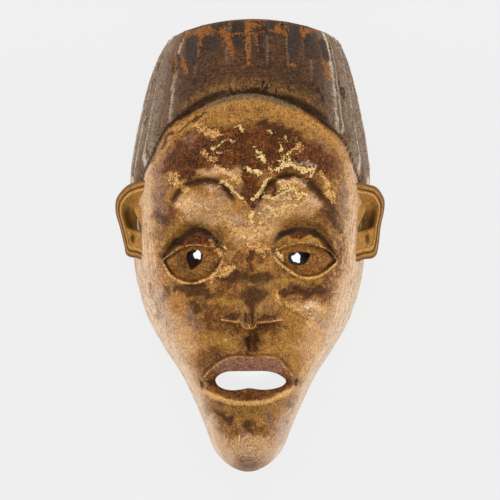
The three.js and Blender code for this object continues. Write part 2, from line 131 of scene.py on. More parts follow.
def bell(offset, reach):
    return np.exp(-((offset / reach) ** 2))


def mound(x, y, reach_x, reach_y):
    return bell(x, reach_x) * bell(y, reach_y)


def ramp(low, high, value):
    share = np.clip((value - low) / (high - low), 0, 1)
    return share * share * (3 - 2 * share)


def curve(stations):
    """A smooth curve through a few stations (place, value), level beyond both ends"""
    places, values = np.array(stations, dtype=float).T
    before = np.r_[0, 0:len(places) - 1]
    after = np.r_[1:len(places), len(places) - 1]
    slopes = (values[after] - values[before]) / (places[after] - places[before])

    def line(place):
        held = np.clip(place, places[0], places[-1])
        index = np.clip(np.searchsorted(places, held, side="right") - 1, 0, len(places) - 2)
        width = places[index + 1] - places[index]
        t = (held - places[index]) / width
        start = (1 + 2 * t) * (1 - t) ** 2 * values[index] + t * (1 - t) ** 2 * slopes[index] * width
        end = t * t * (3 - 2 * t) * values[index + 1] + t * t * (t - 1) * slopes[index + 1] * width
        return start + end

    return line


def between(x, left, right, fade):
    """1 between two places across the face, fading to 0 round both of them"""
    return ramp(left - fade, left + fade, x) * (1 - ramp(right - fade, right + fade, x))


def above(line, x, y):
    """Distance above a line that is given as a height over x"""
    step = 0.5
    slope = (line(x + step) - line(x - step)) / (2 * step)
    return (y - line(x)) / np.hypot(1, slope)


def marks(x, y, strokes):
    """Soft brush strokes (from x, y, to x, y, reach), merged"""
    bare = 1 + 0 * x
    for start_x, start_y, end_x, end_y, reach in strokes:
        way_x, way_y = end_x - start_x, end_y - start_y
        length = max(way_x ** 2 + way_y ** 2, 1e-6)
        along = np.clip(((x - start_x) * way_x + (y - start_y) * way_y) / length, 0, 1)
        bare *= 1 - bell(np.hypot(x - start_x - along * way_x, y - start_y - along * way_y), reach)
    return 1 - bare


# Main form, in millimetres

CROWN = 145.2
CHIN = -145.2
TOP_TILT = 0.31
TOP_WEAR = 4.6
HAIR_START = 60
CLEAR = 3

half_width = curve([
    (CHIN, 17.8), (-127, 23.8), (-108, 31.2), (-83, 43), (-66, 54), (-46, 65), (-23, 72), (0, 74.6),
    (30, 75.6), (46, 76), (60, 74.4), (73, 72.2), (100, 66), (114, 61.5), (126, 56),
])
sway = curve([
    (CHIN, -1.3), (-110, -0.8), (-10, -0.6), (30, 0), (60, 0.4), (100, 1), (120, 1.8), (140, 3),
])
front_depth = curve([
    (CHIN, 83), (-125, 90), (-98, 94), (-60, 90), (-20, 90), (5, 92), (35, 98), (60, 97), (95, 90),
    (CROWN, 74),
])
squareness = curve([
    (CHIN, 2.6), (-110, 2.75), (-86, 2.8), (-40, 2.6), (40, 2.6), (80, 2.3), (CROWN, 1.85),
])
CHIN_POWER = 3.5
TOP_POWER = 4


# The carved outside, or the plain hollow inside it
Form = namedtuple("Form", "wall front_wall chin chin_round crown top_round")


def outside_form():
    return Form(0, 0, CHIN, 18.3, CROWN + TOP_WEAR, 12)


def inside_form(sizes):
    return Form(sizes.rim_wall / MM, sizes.front_wall / MM, CHIN + 13, 24, CROWN - 15, 26)


def round_off(turn, power):
    return np.clip(1 - np.clip(turn, 0, 1) ** power, 0, 1) ** (1 / power)


FRONT_SHARE = 0.8
FRONT_END = 0.6


def arch(across, power):
    """Place on a section: the front share of its half-width is spaced by x, the side wall by z"""
    out = np.abs(across)
    turn_rise = round_off(FRONT_SHARE + 0 * power, power)
    front_side = FRONT_SHARE * out / FRONT_END
    side_rise = np.clip(turn_rise * (1 - (out - FRONT_END) / (1 - FRONT_END)), 0, 1)
    front = out < FRONT_END
    side = np.where(front, front_side, round_off(side_rise, power))
    rise = np.where(front, round_off(np.minimum(front_side, 1), power), side_rise)
    return np.sign(across) * side, rise


def base_points(form, station, across):
    chin_turn = np.clip((form.chin + form.chin_round - station) / form.chin_round, 0, 1)
    top_turn = np.clip((station - form.crown + form.top_round) / form.top_round, 0, 1)
    full_depth = front_depth(station) - form.front_wall
    depth = full_depth * round_off(chin_turn, CHIN_POWER) * round_off(top_turn, TOP_POWER)
    lean = TOP_TILT * ramp(HAIR_START, CROWN, station)
    rim_y = station - lean * full_depth
    width = (half_width(rim_y) - form.wall) * round_off(chin_turn, 2)
    power = squareness(station)
    side, rise = arch(across, power)
    z = depth * rise
    out_x = np.sign(side) * np.abs(side) ** (power - 1) / np.maximum(width, 1)
    out_z = rise ** (power - 1) / np.maximum(depth, 1)
    length = np.maximum(np.hypot(out_x, out_z), 1e-9)
    y = station - lean * (full_depth - z)
    return width * side + sway(rim_y), y, z, out_x / length, out_z / length, top_turn + 0 * across


# Carving, as heights in millimetres over x and y

hairline = curve([
    (-76, 30), (-69.6, 41), (-67.5, 48), (-54, 74.5), (-38, 85.5), (-25, 92.3), (-12.5, 96.3), (0.3, 97.5),
    (13, 95.7), (32.3, 88.6), (48.3, 78), (61, 65.5), (68.1, 47.7), (70.6, 40), (76, 30),
])
RIDGES = np.array([
    -1, -0.92, -0.84, -0.755, -0.667, -0.546, -0.407, -0.178, -0.019, 0.114, 0.265, 0.431, 0.582, 0.688, 0.77,
    0.85, 0.925, 1,
])


def cut_place(across):
    """Place across a gouge cut, from 0 at its left ridge to 1 at its right one"""
    index = np.clip(np.searchsorted(RIDGES, across, side="left"), 1, len(RIDGES) - 1)
    return np.clip((across - RIDGES[index - 1]) / (RIDGES[index] - RIDGES[index - 1]), 0, 1)


def flute(across):
    """Share of a gouge cut's depth: 0 on a ridge, 1 in the middle of a cut"""
    share = cut_place(across)
    return 4 * share * (1 - share)


def facet(across):
    """Place across a gouge cut: 0 at the ridge that is nearer the middle of the hair, 1 at the outer one"""
    return np.where(across < 0, 1 - cut_place(across), cut_place(across))


def hair_relief(sizes, x, y, across, top_turn):
    height = above(hairline, x, y)
    proud = mix(sizes.hair_step / MM, 1, ramp(FRONT_END, 1, np.abs(across)))
    cap = proud * ramp(-0.5, 3, height)
    groove = 1.2 * bell(height + 1.2, 1.4)
    front = 1 - ramp(0.35, 0.6, np.abs(across))
    fading = mix(1, mix(0.25, 1, ramp(8, 42, height)), front)
    cuts = sizes.flute_depth / MM * flute(across) * ramp(1, 8, height) * fading
    return cap - groove - cuts * (1 - ramp(0.6, 1, top_turn))


class Brow:
    def __init__(self, stations):
        self.line = curve(stations)
        self.left = stations[0][0]
        self.right = stations[-1][0]

    def span(self, x, fade):
        return between(x, self.left, self.right, fade)


BROWS = [
    Brow([(-51, 27), (-44, 36), (-37, 40), (-26.6, 41.6), (-19.6, 40), (-13.4, 34), (-9.2, 29)]),
    Brow([(4.7, 27), (8, 34), (13, 40), (22, 44.4), (29, 44), (38, 39.5), (45, 33), (48.4, 31)]),
]


def brow_relief(sizes, x, y):
    relief = 0 * x
    for brow in BROWS:
        height = above(brow.line, x, y)
        cut = sizes.brow_cut / MM * bell(height, 1.2)
        roll = 0.8 * bell(height - 4, 3)
        swelling = 2.6 * mound(x - (brow.left + brow.right) / 2, brow.line(x) - 12 - y, 19, 9)
        relief += brow.span(x, 3) * (roll - cut) + swelling
    return relief


class Eye:
    def __init__(self, crease, upper, lower, depth):
        self.crease = curve(crease)
        self.upper = curve(upper)
        self.lower = curve(lower)
        self.left = upper[0][0]
        self.right = upper[-1][0]
        self.depth = depth

    def reach(self, x, fade):
        return between(x, self.left, self.right, fade)

    def inside(self, x):
        return ramp(self.left, self.left + 5, x) * (1 - ramp(self.right - 5, self.right, x))


EYES = [
    Eye(
        [(-56, -8), (-51.6, -1), (-39, 9.5), (-32, 11.3), (-23.4, 7), (-18, 2), (-13, -4)],
        [(-56, -9.7), (-51, -5.9), (-44.6, -1.7), (-36.7, 0.2), (-28.7, -0.3), (-20.8, -2.6), (-16.5, -7.5)],
        [(-56, -9.7), (-51, -18.1), (-44.6, -22.4), (-37.2, -23.7), (-29.8, -21.8), (-23.4, -18.1),
         (-16.5, -7.5)],
        9.5),
    Eye(
        [(10.1, -4.3), (12.5, 1), (17.8, 6.8), (25.7, 10.6), (35.3, 11.3), (43.3, 8.4), (48, 3.6), (55, -7)],
        [(14.6, -5.9), (19.4, -1.7), (25.7, 0.4), (33.7, 1.5), (41.7, 0.4), (49.6, -2.8), (56, -9.6)],
        [(14.6, -5.9), (19.4, -11.2), (25.7, -16), (31, -19.2), (38, -20.5), (47, -17.6), (56, -9.6)],
        8),
]


def eye_relief(eye, x, y):
    """The socket: deepest at the crease over the upper lid, with a sunken eyeball between the lids"""
    crease, upper, lower = eye.crease(x), eye.upper(x), eye.lower(x)
    depth = eye.depth * eye.reach(x, 7)
    lid, foot = -0.5 * depth, -0.3 * depth
    over = -0.8 * depth * (1 - ramp(-1, 7.5, y - crease))
    band = mix(lid, -depth * 0.8, ramp(0, 1, (y - upper) / np.maximum(1, crease - upper)))
    under = foot * (1 - ramp(0, 16, lower - y))
    height = np.maximum(1, upper - lower)
    opened = 4 * (y - lower) * (upper - y) / height ** 2
    ball = mix(foot, lid, (y - lower) / height) + eye.inside(x) * (3.2 * opened - 3.6 * ramp(0, 0.4, opened))
    return np.select([y > crease, y > upper, y < lower], [over, band, under], ball)


def lid_relief(eye, x, y):
    below = -above(eye.lower, x, y)
    band = ramp(-0.8, 0.3, below) * (1 - ramp(1.8, 3.4, below))
    return eye.reach(x, 2) * (1.3 * bell(above(eye.upper, x, y), 0.9) + 1.4 * band)


NOSE_X = 1.2
TIP_X = -0.8
NOSE_TOP = 6
NOSE_FOOT = -50


def nose_tip(x):
    return np.sqrt(np.clip(1 - ((x - TIP_X) / 5) ** 2, 0, 1))


def nose_foot(x):
    """The lower edge of the nose: nearly straight wings and a small round tip that hangs below them"""
    return NOSE_FOOT + 2.2 * ((x - NOSE_X) / 20) ** 2 - 3.8 * nose_tip(x)


def nose_relief(sizes, x, y):
    off = np.hypot(x - NOSE_X, 1.5)
    along = np.clip((NOSE_TOP - y) / (NOSE_TOP - NOSE_FOOT), 0, 1)
    half = mix(20, 17.5, along) + 5 * ramp(0.55, 1, along)
    body = sizes.nose_height / MM * along ** 1.2 * (1 - ramp(-0.25, 1, off / half)) / (1 - ramp(-0.25, 1, 0))
    bulb = 1.6 * nose_tip(x) * ramp(-36, -44, y)
    hollows = 1.8 * (mound(x + 11, y + 45.4, 5.5, 2.3) + mound(x - 11, y + 46, 6, 1.9))
    hollows += 0.9 * ramp(-41, -44, y) * (bell(x + 2.9, 0.8) + bell(x - 1.5, 0.8))
    foot = nose_foot(x)
    return (body + bulb - hollows) * ramp(foot - 0.7, foot + 0.4, y)


lip_top = curve([
    (-31.7, -85.9), (-25.9, -79), (-19, -73.7), (-12.7, -71), (-1, -70.8), (15.5, -71), (20.2, -74.2),
    (25, -79.6), (29.8, -84.4),
])
lip_crest = curve([
    (-29.6, -92.8), (-23.2, -96.5), (-15.3, -99.2), (-4.7, -100.8), (8.6, -100.2), (16.5, -97.6),
    (23.4, -94.4), (28.2, -91.2),
])
MOUTH_LEFT = -30.6
MOUTH_RIGHT = 29
MOUTH_Y = -86.4


def mouth_span(x):
    return between(x, MOUTH_LEFT, MOUTH_RIGHT, 2)


def mouth_relief(sizes, x, y):
    lip = sizes.lip_height / MM
    below = lip_top(x) - y
    upper = ramp(-0.6, 0.6, below) * (lip - 4.5 * ramp(2, 16, below))
    inward = y - lip_crest(x)
    outer = lip * bell(np.minimum(inward, 0), 5.5)
    inner = mix(lip, mix(-5.5, -1, ramp(20, 28, np.abs(x))), ramp(0, 10, inward))
    lower = np.where(inward < 0, outer, inner)
    return mouth_span(x) * mix(lower, upper, ramp(MOUTH_Y - 1.2, MOUTH_Y + 1.2, y))


NOTCHES = [
    (-31.2, -87, -29.8, -89.8, 0.9), (-30.9, -88, -30.5, -92, 0.9), (29.8, -85.8, 28.2, -87.6, 0.8),
    (29.4, -86.4, 29.2, -89.2, 0.8),
]


def flesh_relief(x, y):
    muzzle = 6 * mound(x, y + 84, 36, 24)
    cheeks = 2.5 * mound(np.abs(x) - 42, y + 42, 14, 16)
    under_nose = 2 * mound(x, y + 57, 20, 6)
    philtrum = 2 * bell(x + 1, 2.8) * ramp(-54, -60, y) * (1 - ramp(-70, -72, y))
    under_lip = 2.5 * mound(x, y + 109, 20, 6)
    chin_boss = 2 * mound(x, y + 128, 14, 10)
    return muzzle + cheeks + chin_boss - under_nose - philtrum - under_lip - 3 * marks(x, y, NOTCHES)


def face_relief(sizes, x, y):
    eyes = sum(eye_relief(eye, x, y) + lid_relief(eye, x, y) for eye in EYES)
    features = nose_relief(sizes, x, y) + mouth_relief(sizes, x, y) + flesh_relief(x, y)
    return brow_relief(sizes, x, y) + eyes + features


KNIFE_MARKS = 320


def knife_marks(x, y):
    """Shallow flats that the knife left, longer along the grain"""
    chance = np.random.default_rng(11)
    relief = 0 * x
    for _ in range(KNIFE_MARKS):
        place_x, place_y = chance.uniform(-76, 76), chance.uniform(CHIN, CROWN)
        reach_x, reach_y = chance.uniform(1.6, 4), chance.uniform(3, 8)
        relief += chance.uniform(0.08, 0.32) * mound(x - place_x, y - place_y, reach_x, reach_y)
    return relief


CHIPS = [
    (-1, -46, 2, 0.4), (-1, -58.5, 2.2, 0.9), (-1, -71.5, 1.5, 1.2), (-1, -88, 3, 0.4),
    (-1, -102.7, 1.8, 0.7), (-1, -132, 2.4, 1), (-1, 20, 4, 0.4), (-1, 84, 2.5, 0.6), (1, -38, 3, 0.4),
    (1, -61, 2.2, 0.6), (1, -75, 2.2, 1.1), (1, -92, 1.8, 0.9), (1, -114, 2.4, 0.6), (1, -136, 3, 0.8),
    (1, 92, 2, 0.6),
]


def rim_wear(x, y, z):
    """Nicks and a slightly uneven line along the edge of the back rim"""
    nicks = sum(depth * bell(y - place, reach) * (side * x > 0) for side, place, reach, depth in CHIPS)
    uneven = 0.2 + 0.12 * np.sin(y / 3.1 + np.sign(x)) + 0.1 * np.sin(y / 1.7)
    return (nicks + uneven) * (1 - ramp(1, 11, z)) * ramp(0.5, 20, np.abs(x))


def carved_points(sizes, station, across):
    x, y, z, out_x, out_z, top_turn = base_points(outside_form(), station, across)
    hair = hair_relief(sizes, x, y, across, top_turn)
    face = face_relief(sizes, x, y) * ramp(0, 20, z)
    raised = hair - rim_wear(x, y, z) - knife_marks(x, y) * ramp(0, 12, z)
    return x + raised * out_x, y, z + raised * out_z * ramp(0, 4, z) + face


GOUGE_ROWS = 9
GOUGE_LENGTH = 17
GOUGE_DEPTH = 0.9


def hollow_points(sizes, station, across):
    """The inside, scooped out by rows of gouge cuts that are staggered from row to row"""
    x, y, z, out_x, out_z, _ = base_points(inside_form(sizes), station, across)
    row = across * GOUGE_ROWS
    stagger = 0.37 * np.floor(row) + 0.15 * np.sin(3 * np.floor(row))
    along = np.mod(station / GOUGE_LENGTH + stagger, 1)
    cut = 4 * np.mod(row, 1) * (1 - np.mod(row, 1)) * np.sqrt(4 * along * (1 - along))
    scoop = GOUGE_DEPTH * cut * ramp(1, 10, z)
    return x + scoop * out_x, y, z + scoop * out_z


# Grid rows and columns

def stretches(list_of_stretches):
    return np.concatenate([
        np.linspace(low, high, count, endpoint=False) for low, high, count in list_of_stretches])


def row_stations(form, middle, end_steps):
    """Stations from chin to crown: closer rows towards both rounded ends, the middle ones as given"""
    chin_from = form.chin + form.chin_round
    top_from = form.crown - form.top_round
    share = np.cos(np.linspace(1 / end_steps, 1, end_steps) * math.pi / 2)
    chin_rows = (chin_from - form.chin_round * round_off(share, CHIN_POWER))[::-1]
    top_rows = top_from + form.top_round * round_off(share, TOP_POWER)
    return np.concatenate([chin_rows, stretches(middle(chin_from, top_from)), [top_from], top_rows])


def even_columns(front_steps, side_steps):
    front = np.linspace(0, FRONT_END, front_steps, endpoint=False)
    side = np.linspace(FRONT_END, 1, side_steps + 1)
    half = np.concatenate([front, side])
    return np.concatenate([-half[:0:-1], half])


def grid_places(form, middle, end_steps, column_steps):
    """Station and place across of every point of a form's grid"""
    return np.meshgrid(row_stations(form, middle, end_steps), even_columns(*column_steps), indexing="ij")


# Modelling helpers

def select_only(piece):
    bpy.ops.object.select_all(action="DESELECT")
    piece.select_set(True)
    bpy.context.view_layer.objects.active = piece


def grid_piece(name, points):
    """A primitive grid whose vertices are moved to the rows and columns of points, in millimetres"""
    x, y, z = points
    rows, columns = x.shape
    bpy.ops.object.select_all(action="DESELECT")
    bpy.ops.mesh.primitive_grid_add(x_subdivisions=columns - 1, y_subdivisions=rows - 1, size=2)
    piece = bpy.context.object
    piece.name = name
    flat = np.empty(len(piece.data.vertices) * 3)
    piece.data.vertices.foreach_get("co", flat)
    column = np.rint((flat[0::3] + 1) / 2 * (columns - 1)).astype(int)
    row = np.rint((flat[1::3] + 1) / 2 * (rows - 1)).astype(int)
    for axis, values in enumerate((x, y, z)):
        flat[axis::3] = values[row, column] * MM
    piece.data.vertices.foreach_set("co", flat)
    return piece


def close_back(piece):
    """Merges the pole at the chin and closes the open back with a flat face"""
    select_only(piece)
    bpy.ops.object.mode_set(mode="EDIT")
    bpy.ops.mesh.select_all(action="SELECT")
    bpy.ops.mesh.remove_doubles(threshold=MERGE)
    bpy.ops.mesh.select_all(action="DESELECT")
    bpy.ops.mesh.select_mode(type="EDGE")
    bpy.ops.mesh.select_non_manifold(extend=False, use_wire=False, use_boundary=True,
                                     use_multi_face=False, use_non_contiguous=False, use_verts=False)
    bpy.ops.mesh.edge_face_add()
    bpy.ops.mesh.select_all(action="SELECT")
    bpy.ops.mesh.normals_make_consistent(inside=False)
    bpy.ops.object.mode_set(mode="OBJECT")
    return piece


def close_poles(piece):
    """Merges the doubled points where a grid meets itself, and turns its faces outwards"""
    select_only(piece)
    bpy.ops.object.mode_set(mode="EDIT")
    bpy.ops.mesh.select_all(action="SELECT")
    bpy.ops.mesh.remove_doubles(threshold=MERGE)
    bpy.ops.mesh.normals_make_consistent(inside=False)
    bpy.ops.object.mode_set(mode="OBJECT")
    return piece


def cut(piece, tool, operation):
    """Joins or cuts with another piece, which is used up"""
    select_only(piece)
    modifier = piece.modifiers.new(tool.name, "BOOLEAN")
    modifier.operation = operation
    modifier.solver = "EXACT"
    modifier.material_mode = "TRANSFER"
    modifier.object = tool
    bpy.ops.object.modifier_apply(modifier=modifier.name)
    bpy.data.objects.remove(tool)


def stain(piece, material):
    piece.data.materials.append(material)
    return piece


def join(pieces):
    select_only(pieces[0])
    for piece in pieces:
        piece.select_set(True)
    bpy.ops.object.join()
    return pieces[0]


# The mask's own pieces

class Ear:
    def __init__(self, sign, outline):
        self.sign = sign
        self.outline = np.array(outline, dtype=float)


EARS = [
    Ear(-1, [(60, 38), (75, 40), (84.7, 31.6), (86.2, 22), (83.3, 11), (80.7, 0.4), (79, -6.2), (73, -8),
             (62, -7)]),
    Ear(1, [(60, 36), (78, 38.4), (85.2, 31.5), (86.2, 24), (83.8, 12), (82.4, 0), (80.3, -7), (74, -8.8),
            (62, -7)]),
]
EAR_CENTRE = np.array([72.0, 15.0])
EAR_FRONT = 47
EAR_SLANT = 0.8
EAR_LIFT = 9
EAR_THICK = 9


def loop_points(corners, steps):
    """Even steps round a smooth closed loop through the corners"""
    before, after = np.roll(corners, 1, axis=0), np.roll(corners, -1, axis=0)
    beyond = np.roll(corners, -2, axis=0)
    t = np.linspace(0, 1, 24, endpoint=False)[:, None]
    fine = []
    for p0, p1, p2, p3 in zip(before, corners, after, beyond):
        fine.append(0.5 * (2 * p1 + (p2 - p0) * t + (2 * p0 - 5 * p1 + 4 * p2 - p3) * t ** 2
                           + (3 * p1 - p0 - 3 * p2 + p3) * t ** 3))
    fine = np.concatenate(fine)
    lengths = np.hypot(*(np.roll(fine, -1, axis=0) - fine).T)
    place = np.concatenate([[0], np.cumsum(lengths)])
    closed = np.concatenate([fine, fine[:1]])
    wanted = np.linspace(0, place[-1], steps, endpoint=False)
    return np.stack([np.interp(wanted, place, closed[:, axis]) for axis in (0, 1)], axis=1)


def ear_ring(ear, x, y):
    """Share of the way from the middle of the ear to its edge"""
    edge = loop_points(ear.outline, 96) - EAR_CENTRE
    turns = np.arctan2(edge[:, 1], edge[:, 0])
    off_x, off_y = ear.sign * x - EAR_CENTRE[0], y - EAR_CENTRE[1]
    reach = np.interp(np.arctan2(off_y, off_x), *sorted_pair(turns, np.hypot(*edge.T)), period=2 * math.pi)
    return np.hypot(off_x, off_y) / reach


def sorted_pair(places, values):
    order = np.argsort(places)
    return places[order], values[order]


def flap_edge(x, y):
    """Distance in from the edge of the flap that covers the front of an ear's hollow"""
    return 73.7 - 0.45 * np.maximum(21.6 - y, 0) - x


def ear_parts(x, y, ring):
    """Shares of the hollow, of the flap in front of it and of the notch in the lobe"""
    flap = ramp(-0.5, 0.7, flap_edge(x, y)) * (1 - ramp(23, 27, y)) * ramp(8, 12, y)
    hollow = (1 - ramp(0.5, 0.72, ring)) * ramp(-0.5, 2, y - 7.5 - 0.3 * (x - 69)) * (1 - flap)
    return hollow, flap, mound(x - 75, y - 4.4, 1.5, 4)


def ear_front(x, y, ring):
    """Carving of an ear's front: a rim, a groove and a ridge round the hollow, and a squared lobe"""
    hollow, flap, notch = ear_parts(x, y, ring)
    ridge = 1.3 * bell(ring - 0.755, 0.04) - 1.3 * bell(ring - 0.83, 0.03)
    depth = mix(6, 3, ramp(18, 31, y)) * ramp(68, 72, x)
    return ridge + 2.5 * flap - depth * hollow - 2.6 * notch


def ear_points(ear, steps=92, rings=27):
    """Rows run over the front from the middle out, round the edge and back in over the back"""
    edge = loop_points(ear.outline, steps)
    edge = np.concatenate([edge, edge[:1]])
    share = np.linspace(0, 1, rings) ** 0.8
    ring = np.concatenate([share, share[-2::-1]])[:, None]
    front = (np.arange(2 * rings - 1) < rings)[:, None]
    x = mix(EAR_CENTRE[0], edge[None, :, 0], ring)
    y = mix(EAR_CENTRE[1], edge[None, :, 1], ring)
    swell = np.sqrt(1 - ring ** 4)
    carving = ear_front(x, y, ring) * (1 - ramp(0.93, 1, ring))
    rise = np.where(front, EAR_THICK / 2 * swell + carving, -(EAR_THICK / 2 + 3) * swell)
    z = EAR_FRONT - EAR_SLANT * (x - 66) + EAR_LIFT * ramp(22, 42, y) + rise
    return ear.sign * x, y, z


def ear_piece(ear, name):
    return close_poles(grid_piece(name, ear_points(ear)))


MOUTH_HOLE = [
    (-22.1, -85.9), (-20.5, -83.4), (-16.9, -81.3), (-11.7, -80.4), (-0.5, -80.3), (9.9, -80.3),
    (16.3, -81.6), (20.7, -83.9), (23, -86.5), (22.1, -88.7), (19.1, -90.6), (13.1, -92), (6.7, -92.2),
    (-0.5, -91.3), (-6.9, -92.3), (-12.1, -92.6), (-17.3, -91.5), (-20.9, -89.1),
]
EYE_HOLES = [
    ([(-42, -5), (-38, -3), (-32.5, -3.2), (-30.2, -6.5), (-31.5, -11), (-35, -14.5), (-38.4, -16.8),
      (-40.2, -13), (-41.8, -9)], (-33.6, -6.1), (2.4, 2.8)),
    ([(24.3, -8), (26, -5), (31, -4.2), (36, -4.4), (39.8, -5.4), (37.5, -9.5), (34, -12.4), (29, -12.6),
      (25.5, -11)], (29.6, -8.1), (2.8, 3)),
]


def tube_piece(name, rings):
    """A closed tube through rings of points, capped at both ends, in millimetres"""
    stacked = np.array([np.concatenate([ring, ring[:1]]) for ring in rings])
    low, high = stacked[0].mean(axis=0), stacked[-1].mean(axis=0)
    ends = [np.broadcast_to(end, stacked[0].shape)[None] for end in (low, high)]
    stacked = np.concatenate([ends[0], stacked, ends[1]])
    return close_poles(grid_piece(name, np.moveaxis(stacked, -1, 0)))


def mouth_cutter():
    edge = loop_points(np.array(MOUTH_HOLE, dtype=float), 128)
    return tube_piece("mouth cutter", [np.column_stack([edge, np.full(len(edge), z)]) for z in (40, 130)])


def eye_cutter(name, edge, narrow, narrow_half):
    wide = loop_points(np.array(edge, dtype=float), 48)
    start = math.atan2(wide[0, 1] - wide[:, 1].mean(), wide[0, 0] - wide[:, 0].mean())
    angle = start - np.linspace(0, 2 * math.pi, 48, endpoint=False)
    uneven = 1 + 0.14 * np.sin(3 * angle + narrow[0]) + 0.1 * np.sin(5 * angle)
    turn = np.column_stack([np.cos(angle), np.sin(angle)])
    small = np.array(narrow) + np.array(narrow_half) * uneven[:, None] * turn
    rings = [(small, 40), (small, 66), (wide, 82), (wide, 96)]
    return tube_piece(name, [np.column_stack([ring, np.full(len(ring), z)]) for ring, z in rings])


# Wear, stains and painted light and shade, as shares from 0 to 1 over x and y in millimetres

def across_of(x, y, z):
    """Place across the section of the outside form, for points near its surface"""
    station = y.copy()
    for _ in range(6):
        lean = TOP_TILT * ramp(HAIR_START, CROWN, station)
        station = y + lean * (front_depth(station) - z)
    lean = TOP_TILT * ramp(HAIR_START, CROWN, station)
    rim_y = station - lean * front_depth(station)
    centred = x - sway(rim_y)
    side = np.clip(np.abs(centred) / half_width(rim_y), 0, 1)
    rise = np.clip(z / front_depth(station), 0, 1)
    turn_rise = round_off(FRONT_SHARE, squareness(station))
    front = FRONT_END * side / FRONT_SHARE
    wall = FRONT_END + (1 - FRONT_END) * (1 - rise / turn_rise)
    return np.sign(centred) * np.clip(np.where(side < FRONT_SHARE, front, wall), 0, 1)


LACQUER = [
    (-12, 67, 27, 67, 8), (-20, 56, 16, 57, 9), (28, 62, 48, 53, 8), (-40, 52, -28, 62, 8),
    (0, 50, 0, 36, 6), (0, 34, 2, 27, 3), (0.8, -1, 0.6, -14, 1.9), (-53, 50, -44, 62, 4),
    (-47, 2, -27, 5, 3.4), (-24, 3, -20, -3, 2), (20, 7, 44, 7, 2), (13, 38, 17, 33, 2),
    (-48, 40, -38, 46, 3),
]
CREAM = [
    (-26.5, 62.2, -11, 67.3, 0.9), (-9, 74.8, -3.5, 73.2, 1.1), (-23.5, 58.3, -19, 58, 0.7),
    (10.3, 73, 17.5, 71.4, 0.9), (22.7, 68.9, 26.7, 66.3, 0.7), (19.3, 64.3, 20.6, 61.4, 1.1),
    (2, 62.6, 4.4, 61.3, 0.8), (5, 59.5, 10, 53, 1.8), (18.6, 54.4, 20.4, 53.6, 0.9),
    (24.4, 57.8, 25, 57, 0.8), (-3.5, 49.6, 6, 46.8, 1.5), (10.5, 48.2, 13.5, 47.5, 1.1),
    (17, 49, 26, 52, 2.2), (26, 51.5, 40, 46.5, 2), (3.3, 30.5, 12.2, 42.5, 2), (17, 39.7, 23.3, 38.8, 1.2),
    (8.6, 30, 16, 31.2, 1.1), (16, 31.2, 22.6, 33.6, 1.3), (13, 22.6, 24, 24.6, 1.5),
    (0.3, 20.5, 1.8, 15, 1.6), (-17.2, 40.6, -11, 35.6, 1.4), (-9.2, 34.4, -4.2, 28, 1.3),
    (17, -4, 21.5, -8.2, 1.7), (-25.5, 7.5, -15, -3, 0.8), (20, 28, 32, 30.4, 0.8), (24, 34.6, 36, 33, 0.9),
    (28, 25.6, 38, 28, 0.8), (18, 36, 28, 37, 0.8), (6, 22, 12, 24, 1), (8, 16, 19, 19, 0.9),
    (2, 10, 8, 13.4, 1), (-5, 4, 4, 6.4, 1), (-8.5, -119.5, -4.5, -124.3, 0.35),
]
FLECKS = [
    (-21, 48, -8, 44, 4), (-44, 27, -33, 25, 3.4), (-20, 18.5, -9, 10, 3.2), (-6, 8, 11, 9, 5.5),
    (0, 0, 9, -3, 4), (12, 20, 30, 25, 4), (24, 36, 36, 31, 3.4), (22, 41, 36, 42, 2),
    (-30, 60, -22, 54, 2), (22, 56, 32, 64, 3), (-34, 76, -20, 70, 3), (24, -38, 33, -41, 3),
    (37, -37, 47, -41, 2.6), (-24, -21, -12, -14, 3.4), (17, -29, 19, -35, 1.4), (-24, 4, -19, -6, 2.4),
    (46, 46, 53, 28, 3), (-50, 44, -42, 36, 3.4), (38, -46, 46, -60, 4), (43, -64, 34, -82, 3),
    (-0.8, -51, -0.6, -53, 1.4), (-46, -58, -38, -66, 2.4),
]
# Sheen: rubbed high spots, painted paler as a sheen there and given a glossier coat
SHEEN = [
    (-30, 47, -8, 47, 4), (-42, 27, -18, 27, 8), (-36, 17, -6, 17, 6), (18, 41, 34, 40, 3),
    (10, 22, 40, 26, 8), (32, -38, 44, -40, 5), (-6, 6, 12, 10, 9), (-44, -50, -40, -64, 10),
    (42, -48, 38, -66, 10), (-14, -131, 14, -131, 8), (-6, -124, 8, -124, 4), (-66, 50, -66, -12, 5),
    (66, 50, 67, -12, 5), (-64, -12, -52, -52, 5), (-50, -62, -32, -98, 5), (-26, -112, -14, -138, 6),
    (62, -20, 50, -60, 5), (45, -70, 33, -98, 5), (22, -108, 14, -138, 6), (-25, -95, 24, -94, 2),
]
UMBER = [
    (-46, -28, -28, -31, 3.1), (-36, -38, -35, -42, 3.6), (20, -29, 46, -29.5, 3.4), (-1, -31, 6, -31, 5.4),
    (2, -35, 1, -40, 3.6), (-54, -27, -58, -45, 3), (-0.8, -58, -0.7, -66, 1.5), (3, -57, 4, -66, 2.6),
    (-19, -108, -12, -112, 2.6), (-1, -113, 0, -119, 3.6), (-16, -44.5, -7, -45.5, 1.8),
    (5, -47, 17, -45.5, 1.3), (-20, -20, 12, -21, 4), (-40, -24, -30, -26, 2.2), (-58, 19, -54, 17, 3.6),
    (50, 30, 56, 10, 3), (-27, 84.5, -52.5, 69.5, 0.8), (-52.5, 69.5, -67.5, 49, 0.8), (8, 77, 14, 74, 3.4),
    (16, 76, 26, 70, 2.4),
]
